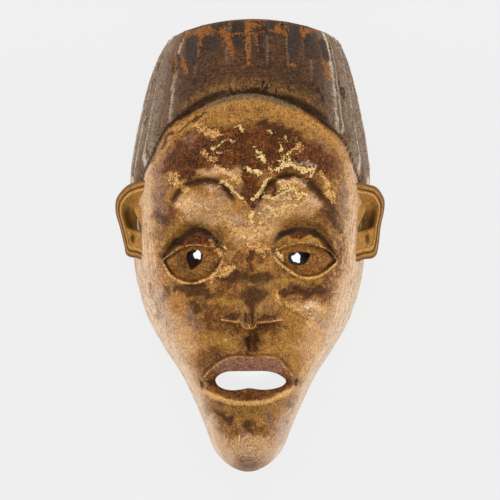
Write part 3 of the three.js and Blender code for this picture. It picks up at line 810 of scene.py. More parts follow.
GOLD = [
    (13, -27, 21, -38, 3), (-24, -36, -6, -36, 3.5), (-3, -23, 8, -25, 3), (15, -22, 45, -22, 3.5),
    (24, -45, 34, -52, 5), (22, -56, 30, -80, 6), (-13, -105, 14, -106, 4), (-6, -112, 3, -108, 3),
    (-20, 80, 14, 84, 5), (20, 84, 42, 62, 5), (-36, 76, -16, 82, 4), (-45, 34, -40, 43, 4),
    (18, 4, 46, 3, 3), (48, 40, 54, 24, 4), (-46, 12, -52, 0, 5), (2, -18, 12, -14, 4),
    (-26, -60, -10, -62, 6), (8, -58, 16, -66, 5),
]
VIOLET = [
    (-59, 50, -57, 24, 4), (-57, 19, -55, 16, 3.5), (60, 38, 60, 18, 3), (-52, 56, -34, 66, 6),
    (40, 62, 48, 54, 6), (3.5, 27, 11, 20, 3), (-9, 18, -4, 11, 4), (-2, 33, 2, 26, 3), (12, 38, 18, 33, 2),
    (-61, -14, -59, -36, 3), (-57, -40, -50, -54, 3), (-40, -44, -34, -52, 5), (-7, -120, -2, -124, 2),
    (12, -110, 20, -122, 4), (22, -112, 24, -124, 4), (-20, 30, -10, 36, 4), (-12, 52, -2, 50, 3),
    (38, -44, 46, -52, 4),
]
RUST = [
    (-40, 135, -26, 139, 2), (-17.5, 138, -11, 123, 2.4), (-2.2, 143, -1, 117, 1.6),
    (0, 141.5, 8, 140.5, 1.6), (18, 141, 22.5, 136, 2), (33, 139, 34, 134, 1.2),
    (-31.5, 137, -31.3, 127, 1), (-43, 118, -41, 111, 1.8), (-47, 126, -48, 108, 1.2),
    (47, 117, 51, 106, 1.4), (27, 115.4, 29, 114, 1.2), (4, 133, 5, 124, 0.9), (-50, 134, 52, 138, 1),
    (0, 144.6, 30, 144, 1), (-30, 144, 0, 144.6, 1),
]
SLATE = [
    (-37.6, 131.5, -37, 119, 3.9), (-25.3, 133.5, -25, 128, 4.7), (-7.6, 137.5, -7.6, 129, 5),
    (13, 139, 13.4, 138, 5), (28, 137, 27.6, 124, 4.2), (6, 132, 6, 122, 2.6), (38, 132, 38.4, 122, 3.6),
    (46.5, 130, 49, 119, 2.4), (-46.5, 120, -48.5, 112, 2.6), (59.5, 101, 60.5, 97, 1),
]
# Thin dark lines: cracks in the hair, and the painted shadow line under the hair's edge
CRACK_AND_SHADOW_LINES = [
    (-21, 91.2, -9, 97.6, 0.8), (-9, 97.6, 2, 98.6, 0.7), (2, 98.6, 12, 97, 0.8), (12, 97, 28, 91, 0.9),
    (-2.5, 100.2, 9, 99.8, 0.7), (7.6, 107, 9.6, 98, 0.7), (12.4, 106, 10.4, 99, 0.6),
    (14.6, 102, 18, 96.6, 0.7), (28, 91, 40, 84, 0.8), (40, 104, 48, 92, 0.8), (-52, 76, -40, 86, 0.8),
    (56, 106, 60, 94, 0.8), (-13.5, 99.5, -11, 98, 0.8),
]
# Gloss: spots given a glossier coat and painted pale as highlights
GLOSS = [
    (-22, 49, -8, 44, 2.8), (-28, 37.5, -19, 37, 2), (22, 42, 36, 39, 1.8), (30, 54, 40, 50, 2),
    (34, -39, 38, -40, 1.4), (-42, 22, -30, 26, 3), (14, 30, 30, 33, 2),
]
FACE_STAINS_AND_SHEEN = {
    "lacquer": LACQUER, "cream": CREAM, "flecks": FLECKS, "sheen": SHEEN,
    "umber": UMBER, "gold": GOLD, "violet": VIOLET, "gloss": GLOSS,
}
HAIR_STAINS = {"rust": RUST, "slate": SLATE}


def hair_share(x, y):
    return ramp(-0.6, 0.6, above(hairline, x, y))


def wander(x, y):
    """Places moved a little to and fro, so that stains drawn as strokes get uneven edges"""
    moved_x = x + 1.1 * np.sin(y / 2.1 + 1.5 * np.sin(x / 4.3)) + 0.6 * np.sin(y / 0.9 + x / 1.7)
    moved_y = y + 1.1 * np.sin(x / 2.4 + 1.5 * np.sin(y / 3.7)) + 0.6 * np.sin(x / 1.1 - y / 1.3)
    return moved_x, moved_y


def stain_and_sheen_shares(x, y, z, out):
    """The stains of the face with its painted sheen and highlights, and those on the front of the hair"""
    on_face = (1 - hair_share(x, y)) * (1 - ramp(0.68, 0.85, out))
    on_front = hair_share(x, y) * ramp(30, 52, z)
    shares = {name: marks(*wander(x, y), strokes) * on_face for name, strokes in FACE_STAINS_AND_SHEEN.items()}
    return shares | {name: marks(x, y, strokes) * on_front for name, strokes in HAIR_STAINS.items()}


def shade_and_dirt_in_cuts(x, y):
    """Dirt and painted shade in the brow lines, the creases over the lids, the lower lids, the lip line, the
    sides of the nose tip, the philtrum and the mouth corners
    """
    brows = sum(0.6 * brow.span(x, 2) * bell(above(brow.line, x, y) + 0.3, 1.1) for brow in BROWS)
    creases = sum(0.9 * eye.reach(x, 4) * bell(above(eye.crease, x, y) + 1.5, 2.6) for eye in EYES)
    lids = sum(0.6 * eye.reach(x, 1) * bell(above(eye.lower, x, y) - 1.4, 1.1) for eye in EYES)
    lip_line = 0.6 * mouth_span(x) * bell(above(lip_top, x, y) - 1, 0.8)
    tip_lines = ramp(-41.5, -43.5, y) * (1 - ramp(-49, -51, y)) * (bell(x + 2.9, 0.9) + bell(x - 1.5, 0.9))
    philtrum = 0.35 * mound(x + 1.6, y + 67.5, 1.5, 3)
    return brows + creases + lids + lip_line + tip_lines + philtrum + 0.75 * marks(x, y, NOTCHES)


def groove_shade_and_cracks(x, y, z, height):
    """Painted shade in the hairline groove, the cracks and the painted shadow line over it, and painted shade
    in the rim's nicks, under the chin and by the ears
    """
    groove = bell(height + 0.5, mix(0.8, 1.2, ramp(15, 50, np.abs(x))))
    cracks_and_shadow_lines = marks(x + 0.7 * np.sin(y * 1.3), y + 0.7 * np.sin(x * 1.1 + np.sin(x * 2.9)), CRACK_AND_SHADOW_LINES)
    nicks = sum(bell(y - place, reach) * (side * x > 0) for side, place, reach, _ in CHIPS)
    nicks = 0.55 * np.clip(nicks, 0, 1) * (1 - ramp(2, 9, z))
    chin_edge = mound(x + 2, y + 144.6, 8, 0.7) * ramp(55, 75, z)
    ear_foot = 0.8 * mound(y - 13, z - 47, 14, 6) * ramp(62, 67, np.abs(x))
    return groove + cracks_and_shadow_lines + nicks + chin_edge + ear_foot


def rubbed_edges(x, y):
    """The edges of the lids, the nose and the upper lip"""
    rims = sum(eye.reach(x, 1) * (
        0.8 * bell(above(eye.upper, x, y), 0.6) + bell(above(eye.lower, x, y) + 0.5, 0.7)
        + 0.3 * bell(above(eye.lower, x, y) + 1.8, 1)) for eye in EYES)
    nose_edge = bell(y - nose_foot(x) - 0.5, 0.7) * (1 - ramp(19, 21.5, np.abs(x - NOSE_X)))
    lip_edge = 0.8 * mouth_span(x) * bell(above(lip_top, x, y) + 0.8, 0.6)
    return np.clip(rims + nose_edge + lip_edge, 0, 1)


def lip_shares(x, y):
    upper = mouth_span(x) * ramp(0.3, 1, lip_top(x) - y) * ramp(MOUTH_Y - 0.5, MOUTH_Y + 0.5, y)
    inner = mouth_span(x) * ramp(1.2, 4, y - lip_crest(x)) * (1 - ramp(-85, -80, y))
    return {
        "lips": upper * (1 - 0.6 * ramp(17, 27, np.abs(x)) - 0.4 * ramp(-78.5, -81, y)),
        "inner_lip": inner * (1 - ramp(20, 29, np.abs(x))),
        "crest": mouth_span(x) * bell(y - lip_crest(x), 2),
    }


def eye_shares(x, y):
    eyeballs = sum(eye.inside(x) * (y < eye.upper(x)) * (y > eye.lower(x)) for eye in EYES)
    return {
        "eyeball": eyeballs,
        "eye_shade": eyeballs * (0.9 * mound(x + 40, y + 10, 8, 9) + 0.8 * mound(x - 30, y + 7, 9, 5)),
        "brows": sum(brow.span(x, 4) * bell(above(brow.line, x, y) + 0.6, 2.6) for brow in BROWS),
    }


def hair_shares(x, across, height, hair):
    front = 1 - ramp(0.35, 0.6, np.abs(across))
    hair_edge_shade = ramp(8, 26, np.abs(x - 2)) * (1 - ramp(34, 54, np.abs(x - 4)))
    return {
        "hair": hair,
        "flute": mix(flute(across), flute(across) * ramp(10, 34, height), front),
        # Painted shade on the flank of each cut that is nearer the middle of the hair
        "facet": (1 - ramp(0.25, 0.75, facet(across))) * ramp(0, 0.12, facet(across)),
        "hair_ridge": (1 - ramp(0.1, 0.6, flute(across))) * ramp(8, 26, height),
        "low_hair": hair * bell(height - 5, 4) * front,
        # Painted shade along the lower edge of the hair at its sides
        "hair_edge_shade": hair * bell(height - 2, 2.4) * hair_edge_shade,
    }


def wear_shares(x, y, z):
    """Every mask that the wood's finish and its painted light and shade need, by name"""
    across = across_of(x, y, z)
    out = np.abs(across)
    height = above(hairline, x, y)
    off_ear = 1 - ((np.abs(x) > half_width(y) - 1.5) & (z > 20) & (y < 44) & (y > -12))
    hair = hair_share(x, y) * off_ear
    # Paler towards the side walls and under the chin: a painted rim light
    pale = ramp(0.5, 0.75, out) * (1 - 0.5 * ramp(-50, -10, y)) + 0.3 * mound(x, y + 134, 20, 8)
    return {
        "recess": np.clip(shade_and_dirt_in_cuts(x, y) + groove_shade_and_cracks(x, y, z, height), 0, 1) * off_ear,
        "edge": rubbed_edges(x, y) * off_ear,
        "near_hair": (1 - hair) * bell(height + 6, 4.5) * off_ear,
        "grey_band": (1 - hair) * bell(height + 2.4, 2) * (1 - ramp(18, 40, np.abs(x))),
        "painted_edge_light": np.clip(pale, 0, 1) * (1 - hair),
        "side": mix(ramp(0.5, 0.75, out), ramp(0.4, 0.68, out), hair),
        **eye_shares(x, y),
        **lip_shares(x, y),
        **hair_shares(x, across, height, hair),
        **stain_and_sheen_shares(x, y, z, out),
    }


def ear_shares(x, y):
    ring = np.where(x < 0, *(ear_ring(ear, x, y) for ear in EARS))
    hollow, flap, notch = ear_parts(np.abs(x), y, ring)
    flap_line = bell(flap_edge(np.abs(x), y) - 0.3, 0.8) * (1 - ramp(22, 26, y)) * ramp(9, 13, y)
    return {
        "bowl": np.clip(hollow * mix(1, 0.1, ramp(14, 30, y)) + 0.9 * notch, 0, 1),
        "ridge": np.clip(bell(ring - 0.755, 0.035) + flap_line, 0, 1),
        "groove": bell(ring - 0.83, 0.028),
        "rim": ramp(0.88, 0.97, ring),
    }


def paint_shares(piece):
    places = np.empty(len(piece.data.vertices) * 3)
    piece.data.vertices.foreach_get("co", places)
    x, y, z = (places[axis::3] / MM for axis in range(3))
    for name, share in {**wear_shares(x, y, z), **ear_shares(x, y)}.items():
        layer = piece.data.attributes.new(name, "FLOAT", "POINT")
        layer.data.foreach_set("value", np.asarray(share, dtype=np.float32))


# Materials

class Value:
    """A node's output, so that shader maths is written as an expression"""

    def __init__(self, shading, socket):
        self.shading = shading
        self.socket = socket

    def __add__(self, other):
        return self.shading.maths("ADD", self, other)

    def __sub__(self, other):
        return self.shading.maths("SUBTRACT", self, other)

    def __rsub__(self, other):
        return self.shading.maths("SUBTRACT", other, self)

    def __mul__(self, other):
        return self.shading.maths("MULTIPLY", self, other)

    __radd__ = __add__
    __rmul__ = __mul__


class Shading:
    """Adds nodes to one material"""

    def __init__(self, name):
        self.material = bpy.data.materials.new(name)
        self.material.use_nodes = True
        self.tree = self.material.node_tree
        self.shader = self.tree.nodes["Principled BSDF"]

    def node(self, kind, settings, values, output=0):
        """One node: its settings first, then the values or links of its sockets by name or place"""
        node = self.tree.nodes.new(kind)
        for setting, value in settings.items():
            setattr(node, setting, value)
        for place, value in values.items():
            self.feed(node.inputs[place], value)
        return Value(self, node.outputs[output])

    def feed(self, socket, value):
        if isinstance(value, Value):
            self.tree.links.new(value.socket, socket)
        else:
            socket.default_value = value

    def maths(self, operation, first, second):
        return self.node("ShaderNodeMath", {"operation": operation}, {0: first, 1: second})

    def share(self, name):
        return self.node("ShaderNodeAttribute", {"attribute_name": name}, {}, 2)

    def step(self, value, low, high):
        """0 below low, 1 above high, smooth between"""
        return self.node("ShaderNodeMapRange", {"interpolation_type": "SMOOTHSTEP"},
                         {"Value": value, "From Min": low, "From Max": high})

    def blend(self, share, below, over, kind="MIX"):
        """A colour over another one, by a share"""
        below, over = (value if isinstance(value, Value) else (*value, 1) for value in (below, over))
        return self.node("ShaderNodeMix", {"data_type": "RGBA", "blend_type": kind}, {
            0: share, 6: below, 7: over}, 2)

    def places(self, stretch=(1, 1, 1)):
        """Object coordinates, for patterns that are stretched along the axes"""
        own = self.node("ShaderNodeTexCoord", {}, {}, 3)
        return self.node("ShaderNodeMapping", {"vector_type": "TEXTURE"}, {
            "Vector": own, "Scale": stretch})

    def bump(self, strength, distance, relief):
        bump = self.node("ShaderNodeBump", {}, {"Strength": strength, "Distance": distance, "Height": relief})
        self.feed(self.shader.inputs["Normal"], bump)

    def noise(self, places, scale, detail=3, roughness=0.55, bend=0):
        """Noise around 0, from about -0.5 to 0.5"""
        raw = self.node("ShaderNodeTexNoise", {}, {
            "Vector": places, "Scale": scale, "Detail": detail, "Roughness": roughness, "Distortion": bend})
        return raw - 0.5


SHINE = 0.1


class WoodNoise:
    """The noise patterns that break up the finish of the wood"""

    def __init__(self, made):
        own = made.places()
        self.broad = made.noise(own, 34, 3)
        self.patch = made.noise(own, 110, 5, 0.65, 0.8)
        self.mottle = made.noise(own, 230, 4, 0.7, 1)
        self.fleck = made.noise(own, 420, 4, 0.7, 0.5)
        self.pits = made.noise(own, 950, 3, 0.7)
        self.fine = made.noise(own, 1700, 2, 0.6)
        self.band = made.noise(made.places(stretch=(1, 14, 1)), 150, 2, 0.5)
        self.streak = made.noise(made.places(stretch=(1, 9, 1)), 420, 4, 0.65)
        self.fibre = made.noise(made.places(stretch=(1, 4, 1)), 1100, 3, 0.65)
        self.scrape = made.noise(made.places(stretch=(7, 1, 1)), 700, 4, 0.65)
        self.ragged = self.fleck * 0.9 + self.pits * 1.1


class Layers:
    """Where the layers over the stain lie; the sheen and gloss layers are painted highlights as well as a
    glossier coat
    """

    def __init__(self, made, noise):
        share, step = made.share, made.step
        ragged, patch = noise.ragged, noise.patch
        self.lacquer = step(share("lacquer") + patch * 1.7 + ragged * 0.9, 0.38, 0.52)
        self.sheen = step(share("sheen") * 0.8 + noise.mottle * 0.8 + ragged * 0.6, 0.3, 1.1)
        self.gloss = step(share("gloss") + ragged * 2.2 + patch * 0.6, 0.45, 1.1)
        self.flecks = step(share("flecks") * 0.55 + ragged * 1.2, 0.38, 0.5)
        self.cream = step(share("cream") + ragged * 1.9 + patch * 0.5, 0.46, 0.72)


def stained_wood(made, noise, colours):
    """The rubbed stain: brown and ochre, paler and streaked down the side walls, the paleness there partly a
    painted rim light; ochre also comes up with the painted sheen
    """
    share, step, blend = made.share, made.step, made.blend
    broad, patch, mottle, fleck = noise.broad, noise.patch, noise.mottle, noise.fleck
    streak, band, ragged = noise.streak, noise.band, noise.ragged
    rubbed_and_sheen = step(share("sheen") * 0.4 + broad * 1.2 + patch + fleck * 0.5, -0.2, 0.35)
    face = blend(rubbed_and_sheen, colours.brown, colours.ochre)
    wall = blend(step(patch, -0.1, 0.1), colours.violet, colours.ochre)
    wall = blend(step(streak * 1.2 + mottle, -0.3, 0.2), wall, colours.tan)
    # Side walls paler and streaked: real streaks, with the tan partly a painted rim light
    face = blend(step(share("side") + streak * 1.1 + band * 0.8, 0.3, 1.0) * 0.85, face, wall)
    stripes = step(share("side") * 0.6 + band * 2.2 + patch * 0.5, 0.75, 1.15)
    face = blend(stripes * 0.35, face, colours.violet)
    face = blend(step(mottle + ragged * 0.3, 0.0, 0.3) * 0.5, face, colours.brown)
    face = blend(step(0 - mottle + ragged * 0.3, 0.06, 0.25) * 0.35, face, colours.pale)
    bloom = step(broad * 1.4 - patch * 0.6 + mottle * 0.5 - share("sheen") * 0.7, 0.0, 0.4)
    face = blend(bloom * 0.5, face, colours.grey)
    face = blend(step(share("gold") + mottle * 1.6 + ragged * 0.5, 0.15, 1.1) * 0.8, face, colours.gold)
    face = blend(step(share("near_hair") + patch * 0.8 + ragged * 0.5, 0.3, 0.9) * 0.85, face, colours.orange)
    return blend(step(share("violet") + streak * 1.4 + ragged * 0.6, 0.3, 0.8) * 0.75, face, colours.violet)


def eyeball_wood(made, noise, colours):
    """Browner and redder wood between the lids, dark beside the holes"""
    share, step, blend = made.share, made.step, made.blend
    ball = blend(step(noise.patch, -0.1, 0.1), colours.brown, colours.rust)
    ball = blend(step(noise.mottle * 1.5 + noise.ragged, -0.1, 0.4), ball, colours.gold)
    shade = step(share("eye_shade") + noise.mottle + noise.ragged * 0.5, 0.2, 0.9)
    return blend(shade * 0.75, ball, colours.umber)


def red_lacquer(made, noise, colours):
    """Dark red lacquer, thin in places and scratched through to the gold below"""
    step, blend = made.step, made.blend
    thin = step(noise.patch + noise.fibre * 1.2 + noise.ragged, -0.25, 0.3)
    red = blend(thin, colours.lacquer, colours.red)
    scratched = step(noise.scrape * 0.8 + noise.mottle + noise.pits, 0.16, 0.34)
    return blend(scratched * 0.55, red, colours.gold)


def face_colour(made, noise, layers, colours):
    """The layers of the face from the stain up, with painted sheen and highlights midway, and the dirt,
    painted shade and rubbed edges last
    """
    share, step, blend, ragged = made.share, made.step, made.blend, noise.ragged
    red = red_lacquer(made, noise, colours)
    flaked = blend(step(noise.fine + noise.pits, -0.15, 0.12), colours.worn, colours.cream)
    lip = blend(step(noise.scrape + noise.pits, -0.15, 0.2), colours.violet, colours.lip)
    # Dark stains, and painted shade under the brow lines
    umber = step(share("umber") + share("brows") + noise.mottle * 1.2 + ragged * 0.6, 0.15, 0.85)
    face = stained_wood(made, noise, colours)
    face = blend(share("eyeball") * 0.85, face, eyeball_wood(made, noise, colours))
    face = blend(layers.lacquer * 0.92, face, red)
    face = blend(umber * 0.9, face, colours.umber)
    # Painted sheen on the rubbed high spots
    face = blend(layers.sheen * 0.6, face, colours.pale)
    # Painted rim light along the side walls and under the chin
    face = blend(share("painted_edge_light") * step(noise.streak + ragged, -0.3, 0.2) * 0.7, face, colours.painted_highlight)
    # Painted highlights where the coat is glossy
    face = blend(layers.gloss * 0.3, face, colours.painted_highlight)
    face = blend(layers.flecks * 0.7, face, colours.worn)
    face = blend(layers.cream * 0.9, face, flaked)
    face = blend(share("lips"), face, lip)
    face = blend(share("inner_lip") * 0.85, face, red)
    # Dirt and painted shade in the cuts, grooves and creases
    face = blend(step(share("recess") + ragged * 0.7, 0.25, 0.8) * 0.85, face, colours.dirt_and_shade)
    face = blend(step(share("grey_band") + ragged * 1.6, 0.3, 0.6) * 0.8, face, colours.grey)
    face = blend(step(share("edge") + ragged * 1.1, 0.35, 0.9) * 0.75, face, colours.worn)
    return blend(step(share("crest") + ragged * 0.6, 0.25, 0.9) * 0.8, face, colours.worn)


def hair_side_colour(made, noise, colours):
    """Greyed wood at the sides of the hair, with pale ridges that are partly a painted highlight, and a
    painted shade on one flank of each gouge cut
    """
    share, step, blend = made.share, made.step, made.blend
    streak, mottle, band = noise.streak, noise.mottle, noise.band
    side = blend(step(streak + mottle + band, -0.05, 0.35) * 0.85, colours.ash, colours.hair)
    # Painted shade on the inner flank of each cut
    side = blend(step(share("facet") + streak + mottle * 0.8, 0.1, 0.9) * 0.6, side, colours.hair)
    # Pale ridges: rubbed wear and a painted highlight
    ridge = step(0.32 - share("flute") + streak * 0.8 + band * 0.6 + noise.ragged * 0.4, -0.1, 0.3)
    return blend(ridge * 0.85, side, colours.hair_pale)


def hair_colour(made, noise, colours):
    """Dark stained hair with chatter marks, slate gouge cuts darkened partly as painted shade, rust-coloured
    bare wood, and painted shade along its lower edge and in the hairline groove
    """
    share, step, blend = made.share, made.step, made.blend
    mottle, fleck, ragged, streak = noise.mottle, noise.fleck, noise.ragged, noise.streak
    chatter = step(noise.scrape * 1.8 + noise.broad * 0.8 + mottle * 0.5, -0.3, 0.3)
    hair = blend(chatter, colours.hair_dark, colours.hair)
    # Darker in the gouge cuts: grey cut wood and painted shade that shows the cuts
    hair = blend(share("flute") * 0.3, hair, colours.slate)
    warm = step(fleck + noise.pits * 0.5 + streak, -0.3, 0.3)
    hair = blend(share("low_hair") * warm * 0.45, hair, colours.orange)
    # Paler ridges between the cuts, partly a painted highlight
    hair = blend(step(share("hair_ridge") + mottle * 1.2 + fleck * 0.8, 0.3, 1.2) * 0.4, hair, colours.ash)
    on_side = step(share("side") + streak * 0.8 + mottle * 0.6, 0.1, 0.9)
    hair = blend(on_side * 0.9, hair, hair_side_colour(made, noise, colours))
    hair = blend(step(share("slate") + mottle * 0.3 + fleck * 0.3, 0.4, 0.54) * 0.85, hair, colours.slate)
    bare = step(share("rust") * 0.9 + ragged * 2 + mottle * 0.6, 0.42, 0.66)
    hair = blend(bare * 0.85, hair, colours.rust)
    # Painted shade along the lower edge of the hair
    hair = blend(step(share("hair_edge_shade") + ragged * 1.4, 0.3, 0.7) * 0.8, hair, colours.dirt_and_shade)
    # Dirt and painted shade in the hairline groove
    return blend(step(share("recess") + ragged * 0.6, 0.3, 0.7) * 0.9, hair, colours.dirt_and_shade)


def wood_material(colours):
    """Old stained wood: rubbed ochre, red lacquer, flaking cream, dirt and painted shade in the cuts, painted
    sheen and highlights, and dark stained hair
    """
    made = Shading("worn wood")
    noise = WoodNoise(made)
    layers = Layers(made, noise)
    fleck, pits, fine = noise.fleck, noise.pits, noise.fine
    on_hair = made.share("hair")
    grit = 0.5 + pits * 1.7 + fine * 1.5 + fleck * 1.1
    # The grit is weaker under the painted sheen and edge light
    sheen_and_edge_light = (made.share("sheen") + made.share("painted_edge_light") * 0.8) * (1 - on_hair)
    colour = made.blend(on_hair, face_colour(made, noise, layers, colours), hair_colour(made, noise, colours))
    colour = made.blend(0.9 - sheen_and_edge_light * 0.4, colour, grit, "OVERLAY")
    specks = made.step(pits + noise.mottle, 0.12, 0.24)
    colour = made.blend(specks * (0.5 - sheen_and_edge_light * 0.4), colour, colours.dirt_and_shade)
    shader = made.shader
    shader.inputs["Specular IOR Level"].default_value = SHINE
    made.feed(shader.inputs["Base Color"], colour)
    made.feed(shader.inputs["Coat Weight"], layers.sheen * 0.4 + layers.gloss * 0.5)
    shader.inputs["Coat Roughness"].default_value = 0.22
    rough = 0.45 + layers.cream * 0.2 - layers.lacquer * 0.08 + on_hair * 0.1 + fleck * 0.4
    made.feed(shader.inputs["Roughness"], made.node("ShaderNodeClamp", {}, {0: rough, 1: 0.2, 2: 0.9}))
    relief = fine * 0.4 + fleck * 0.9 + pits * 0.7 + noise.streak * 0.4 + noise.patch * 0.8
    made.bump(0.8, 0.9 * MM, relief + layers.cream * 0.16 + layers.lacquer * 0.1)
    return made.material


def ear_material(colours):
    """The same stain on the ears: dark in the bowl, in the groove and round the rim as painted shade, golden
    on the ridge between them
    """
    made = Shading("worn ear wood")
    share, step, blend = made.share, made.step, made.blend
    own = made.places()
    patch = made.noise(own, 150, 5, 0.65, 0.8)
    fleck = made.noise(own, 520, 4, 0.7, 0.5)
    pits = made.noise(own, 950, 3, 0.7)
    fine = made.noise(own, 1700, 2, 0.6)
    ragged = fleck * 0.9 + pits * 1.1
    colour = blend(step(patch + fleck, -0.25, 0.2), colours.orange, colours.gold)
    colour = blend(step(patch * 1.4 - fleck * 0.6, 0.0, 0.35) * 0.6, colour, colours.grey)
    colour = blend(step(share("ridge") + ragged * 1.2 + patch * 0.6, 0.35, 1.0) * 0.6, colour, colours.worn)
    # Painted shade in the bowl of the ear
    bowl = share("bowl") + patch * 0.6 + ragged * 0.5
    colour = blend(step(bowl, 0.2, 0.7) * 0.75, colour, colours.umber)
    colour = blend(step(bowl, 0.7, 1.3) * 0.5, colour, colours.dirt_and_shade)
    # Painted shade in the groove and on the rim that turns away
    colour = blend(step(share("groove") + ragged * 0.9 + patch * 0.4, 0.3, 0.8) * 0.8, colour, colours.umber)
    colour = blend(step(share("rim") + ragged * 1.1, 0.3, 0.9) * 0.8, colour, colours.hair)
    grit = 0.5 + pits * 1.4 + fine * 1.1 + fleck
    colour = blend(0.85, colour, grit, "OVERLAY")
    colour = blend(step(pits + fleck * 0.7, 0.08, 0.22) * 0.7, colour, colours.dirt_and_shade)
    made.feed(made.shader.inputs["Base Color"], colour)
    made.shader.inputs["Roughness"].default_value = 0.45
    made.shader.inputs["Specular IOR Level"].default_value = SHINE
    relief = fine * 0.4 + fleck + pits * 0.8
    made.bump(0.8, 0.9 * MM, relief)
    return made.material


def plain_wood(name, dark, light):
    """Wood without stain, with its grain along Y"""
    made = Shading(name)
    streak = made.noise(made.places(stretch=(1, 9, 1)), 300, 4, 0.6)
    fleck = made.noise(made.places(), 300, 4, 0.6)
    colour = made.blend(made.step(streak * 1.4 + fleck, -0.2, 0.25), dark, light)
    made.feed(made.shader.inputs["Base Color"], colour)
    made.shader.inputs["Roughness"].default_value = 0.7
    made.shader.inputs["Specular IOR Level"].default_value = SHINE
    made.bump(0.5, 0.6 * MM, streak + fleck)
    return made.material


def floor_material(colours):
    """Evenly lit paper; the part that the mask covers glows through its holes"""
    made = Shading("studio paper")
    covered = made.step(made.node("ShaderNodeVectorMath", {"operation": "LENGTH"}, {
        0: made.places(stretch=(0.05, 0.09, 1))}, 1), 1.0, 0.8)
    glow = made.blend(covered, colours.floor, (1, 1, 1))
    made.feed(made.shader.inputs["Emission Color"], glow)
    made.shader.inputs["Emission Strength"].default_value = 1
    made.shader.inputs["Base Color"].default_value = (0.02, 0.02, 0.02, 1)
    made.shader.inputs["Roughness"].default_value = 0.9
    return made.material


# Stained pieces

SMOOTH_ANGLE = math.radians(50)


def carved_body(sizes, colours):
    """The outside of the mask, closed by its flat back"""
    places = grid_places(outside_form(), lambda chin, top: [
        (chin, -104, 20), (-104, -66, 52), (-66, -40, 34), (-40, -28, 12), (-28, 16, 58), (16, 48, 36),
        (48, 100, 42), (100, top, 16),
    ], 22, (92, 36))
    body = close_back(grid_piece("mask_carving", carved_points(sizes, *places)))
    return stain(body, wood_material(colours))


def ear_pair(colours):
    ears = join([ear_piece(ear, name) for ear, name in zip(EARS, ("left ear", "right ear"))])
    return stain(ears, ear_material(colours))


def hollow_cutter(sizes, colours):
    """The hollow of the back, with its lowest row moved down so that it cuts through the flat rim"""
    places = grid_places(inside_form(sizes), lambda chin, top: [(chin, top, 90)], 14, (28, 16))
    x, y, z = hollow_points(sizes, *places)
    shift = np.where(z <= 1e-6, -CLEAR, 0)
    cutter = close_back(grid_piece("hollow", (x, y, z + shift)))
    return stain(cutter, plain_wood("hollow wood", colours.umber, colours.raw))


def hole_cutters(colours):
    # The walls of the eye and mouth holes are painted dark as the shade inside them
    cutters = join([mouth_cutter()] + [eye_cutter("eye cutter", *hole) for hole in EYE_HOLES])
    return stain(cutters, plain_wood("hole walls painted as shade", colours.dirt_and_shade, colours.umber))


# Operators

class MASK_OT_carve(bpy.types.Operator):
    """Carve the mask: face, hair and ears in one, with the hollow back and the pierced eyes and mouth"""

    bl_idname = "mask_maker.carve"
    bl_label = "Carve Mask"
    bl_options = {"REGISTER", "UNDO"}

    def execute(self, context):
        sizes = context.scene.mask_sizes
        colours = context.scene.mask_colours
        mask = carved_body(sizes, colours)
        cut(mask, ear_pair(colours), "UNION")
        cut(mask, hollow_cutter(sizes, colours), "DIFFERENCE")
        cut(mask, hole_cutters(colours), "DIFFERENCE")
        select_only(mask)
        bpy.ops.object.shade_smooth_by_angle(angle=SMOOTH_ANGLE)
        paint_shares(mask)
        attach(mask, "root")
        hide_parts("mask")
        return {"FINISHED"}


class MASK_OT_studio(bpy.types.Operator):
    """Set the pale floor, the soft lights and the camera that looks straight down on the face"""

    bl_idname = "mask_maker.studio"
    bl_label = "Set Studio"
    bl_options = {"REGISTER", "UNDO"}

    def execute(self, context):
        colours = context.scene.mask_colours
        bpy.ops.object.select_all(action="DESELECT")
        bpy.ops.mesh.primitive_plane_add(size=FLOOR_SIZE, location=(0, 0, LOW.z - FLOOR_GAP))
        floor = context.object
        floor.name = "studio_floor"
        floor.data.materials.append(floor_material(colours))
        for light in LIGHTS:
            add_area(*light)
        add_camera()
        world = bpy.data.worlds.new("studio world")
        context.scene.world = world
        world.use_nodes = True
        world.node_tree.nodes["Background"].inputs["Color"].default_value = (1, 1, 1, 1)
        world.node_tree.nodes["Background"].inputs["Strength"].default_value = 0.15
        context.scene.view_settings.view_transform = "Standard"
        return {"FINISHED"}


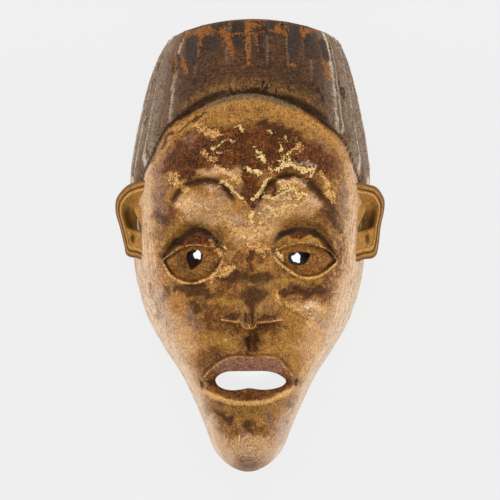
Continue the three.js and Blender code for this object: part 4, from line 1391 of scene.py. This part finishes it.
FLOOR_SIZE = 8
FLOOR_GAP = 0.0002
LIGHTS = (
    ("key light", (0, 1.1, 1.4), 0.9, 21),
    ("low light", (0, -1.4, 1.0), 0.8, 11),
    ("left light", (-1.3, 0.1, 0.5), 0.7, 14),
    ("right light", (1.3, 0.1, 0.5), 0.7, 14),
)
LIGHT_AIM = Vector((0, 0, 0.06))


def add_area(name, place, size, watts):
    """A soft light at a place, turned towards the face"""
    bpy.ops.object.light_add(type="AREA", location=place)
    light = bpy.context.object
    light.name = name
    light.data.size = size
    light.data.energy = watts
    light.visible_camera = False
    light.rotation_euler = (LIGHT_AIM - Vector(place)).to_track_quat("-Z", "Y").to_euler()


CAMERA_DISTANCE = 14.0
FRAME_WIDTH = 0.320
SENSOR_WIDTH = 36
FACE_PLANE = 0.05


def add_camera():
    bpy.ops.object.camera_add(location=(0, -0.003, CAMERA_DISTANCE + FACE_PLANE), rotation=(0, 0, 0))
    camera = bpy.context.object
    camera.name = "studio camera"
    camera.data.sensor_width = SENSOR_WIDTH
    camera.data.lens = SENSOR_WIDTH * CAMERA_DISTANCE / FRAME_WIDTH
    camera.data.clip_end = 50
    bpy.context.scene.camera = camera


class MASK_PT_panel(bpy.types.Panel):
    """Lists the steps that build the mask"""

    bl_idname = "MASK_PT_panel"
    bl_label = "Carved Mask"
    bl_space_type = "VIEW_3D"
    bl_region_type = "UI"
    bl_category = "Mask"

    def draw(self, context):
        for step in STEPS:
            self.layout.operator(step.bl_idname)


STEPS = (MASK_OT_carve, MASK_OT_studio)
CLASSES = (MaskSizes, MaskColours, *STEPS, MASK_PT_panel)


def register():
    for item in CLASSES:
        bpy.utils.register_class(item)
    bpy.types.Scene.mask_sizes = bpy.props.PointerProperty(type=MaskSizes)
    bpy.types.Scene.mask_colours = bpy.props.PointerProperty(type=MaskColours)


def unregister():
    del bpy.types.Scene.mask_colours
    del bpy.types.Scene.mask_sizes
    for item in reversed(CLASSES):
        bpy.utils.unregister_class(item)


def main():
    register()
    bpy.ops.mask_maker.carve()
    bpy.ops.mask_maker.studio()


if __name__ == "__main__":
    main()
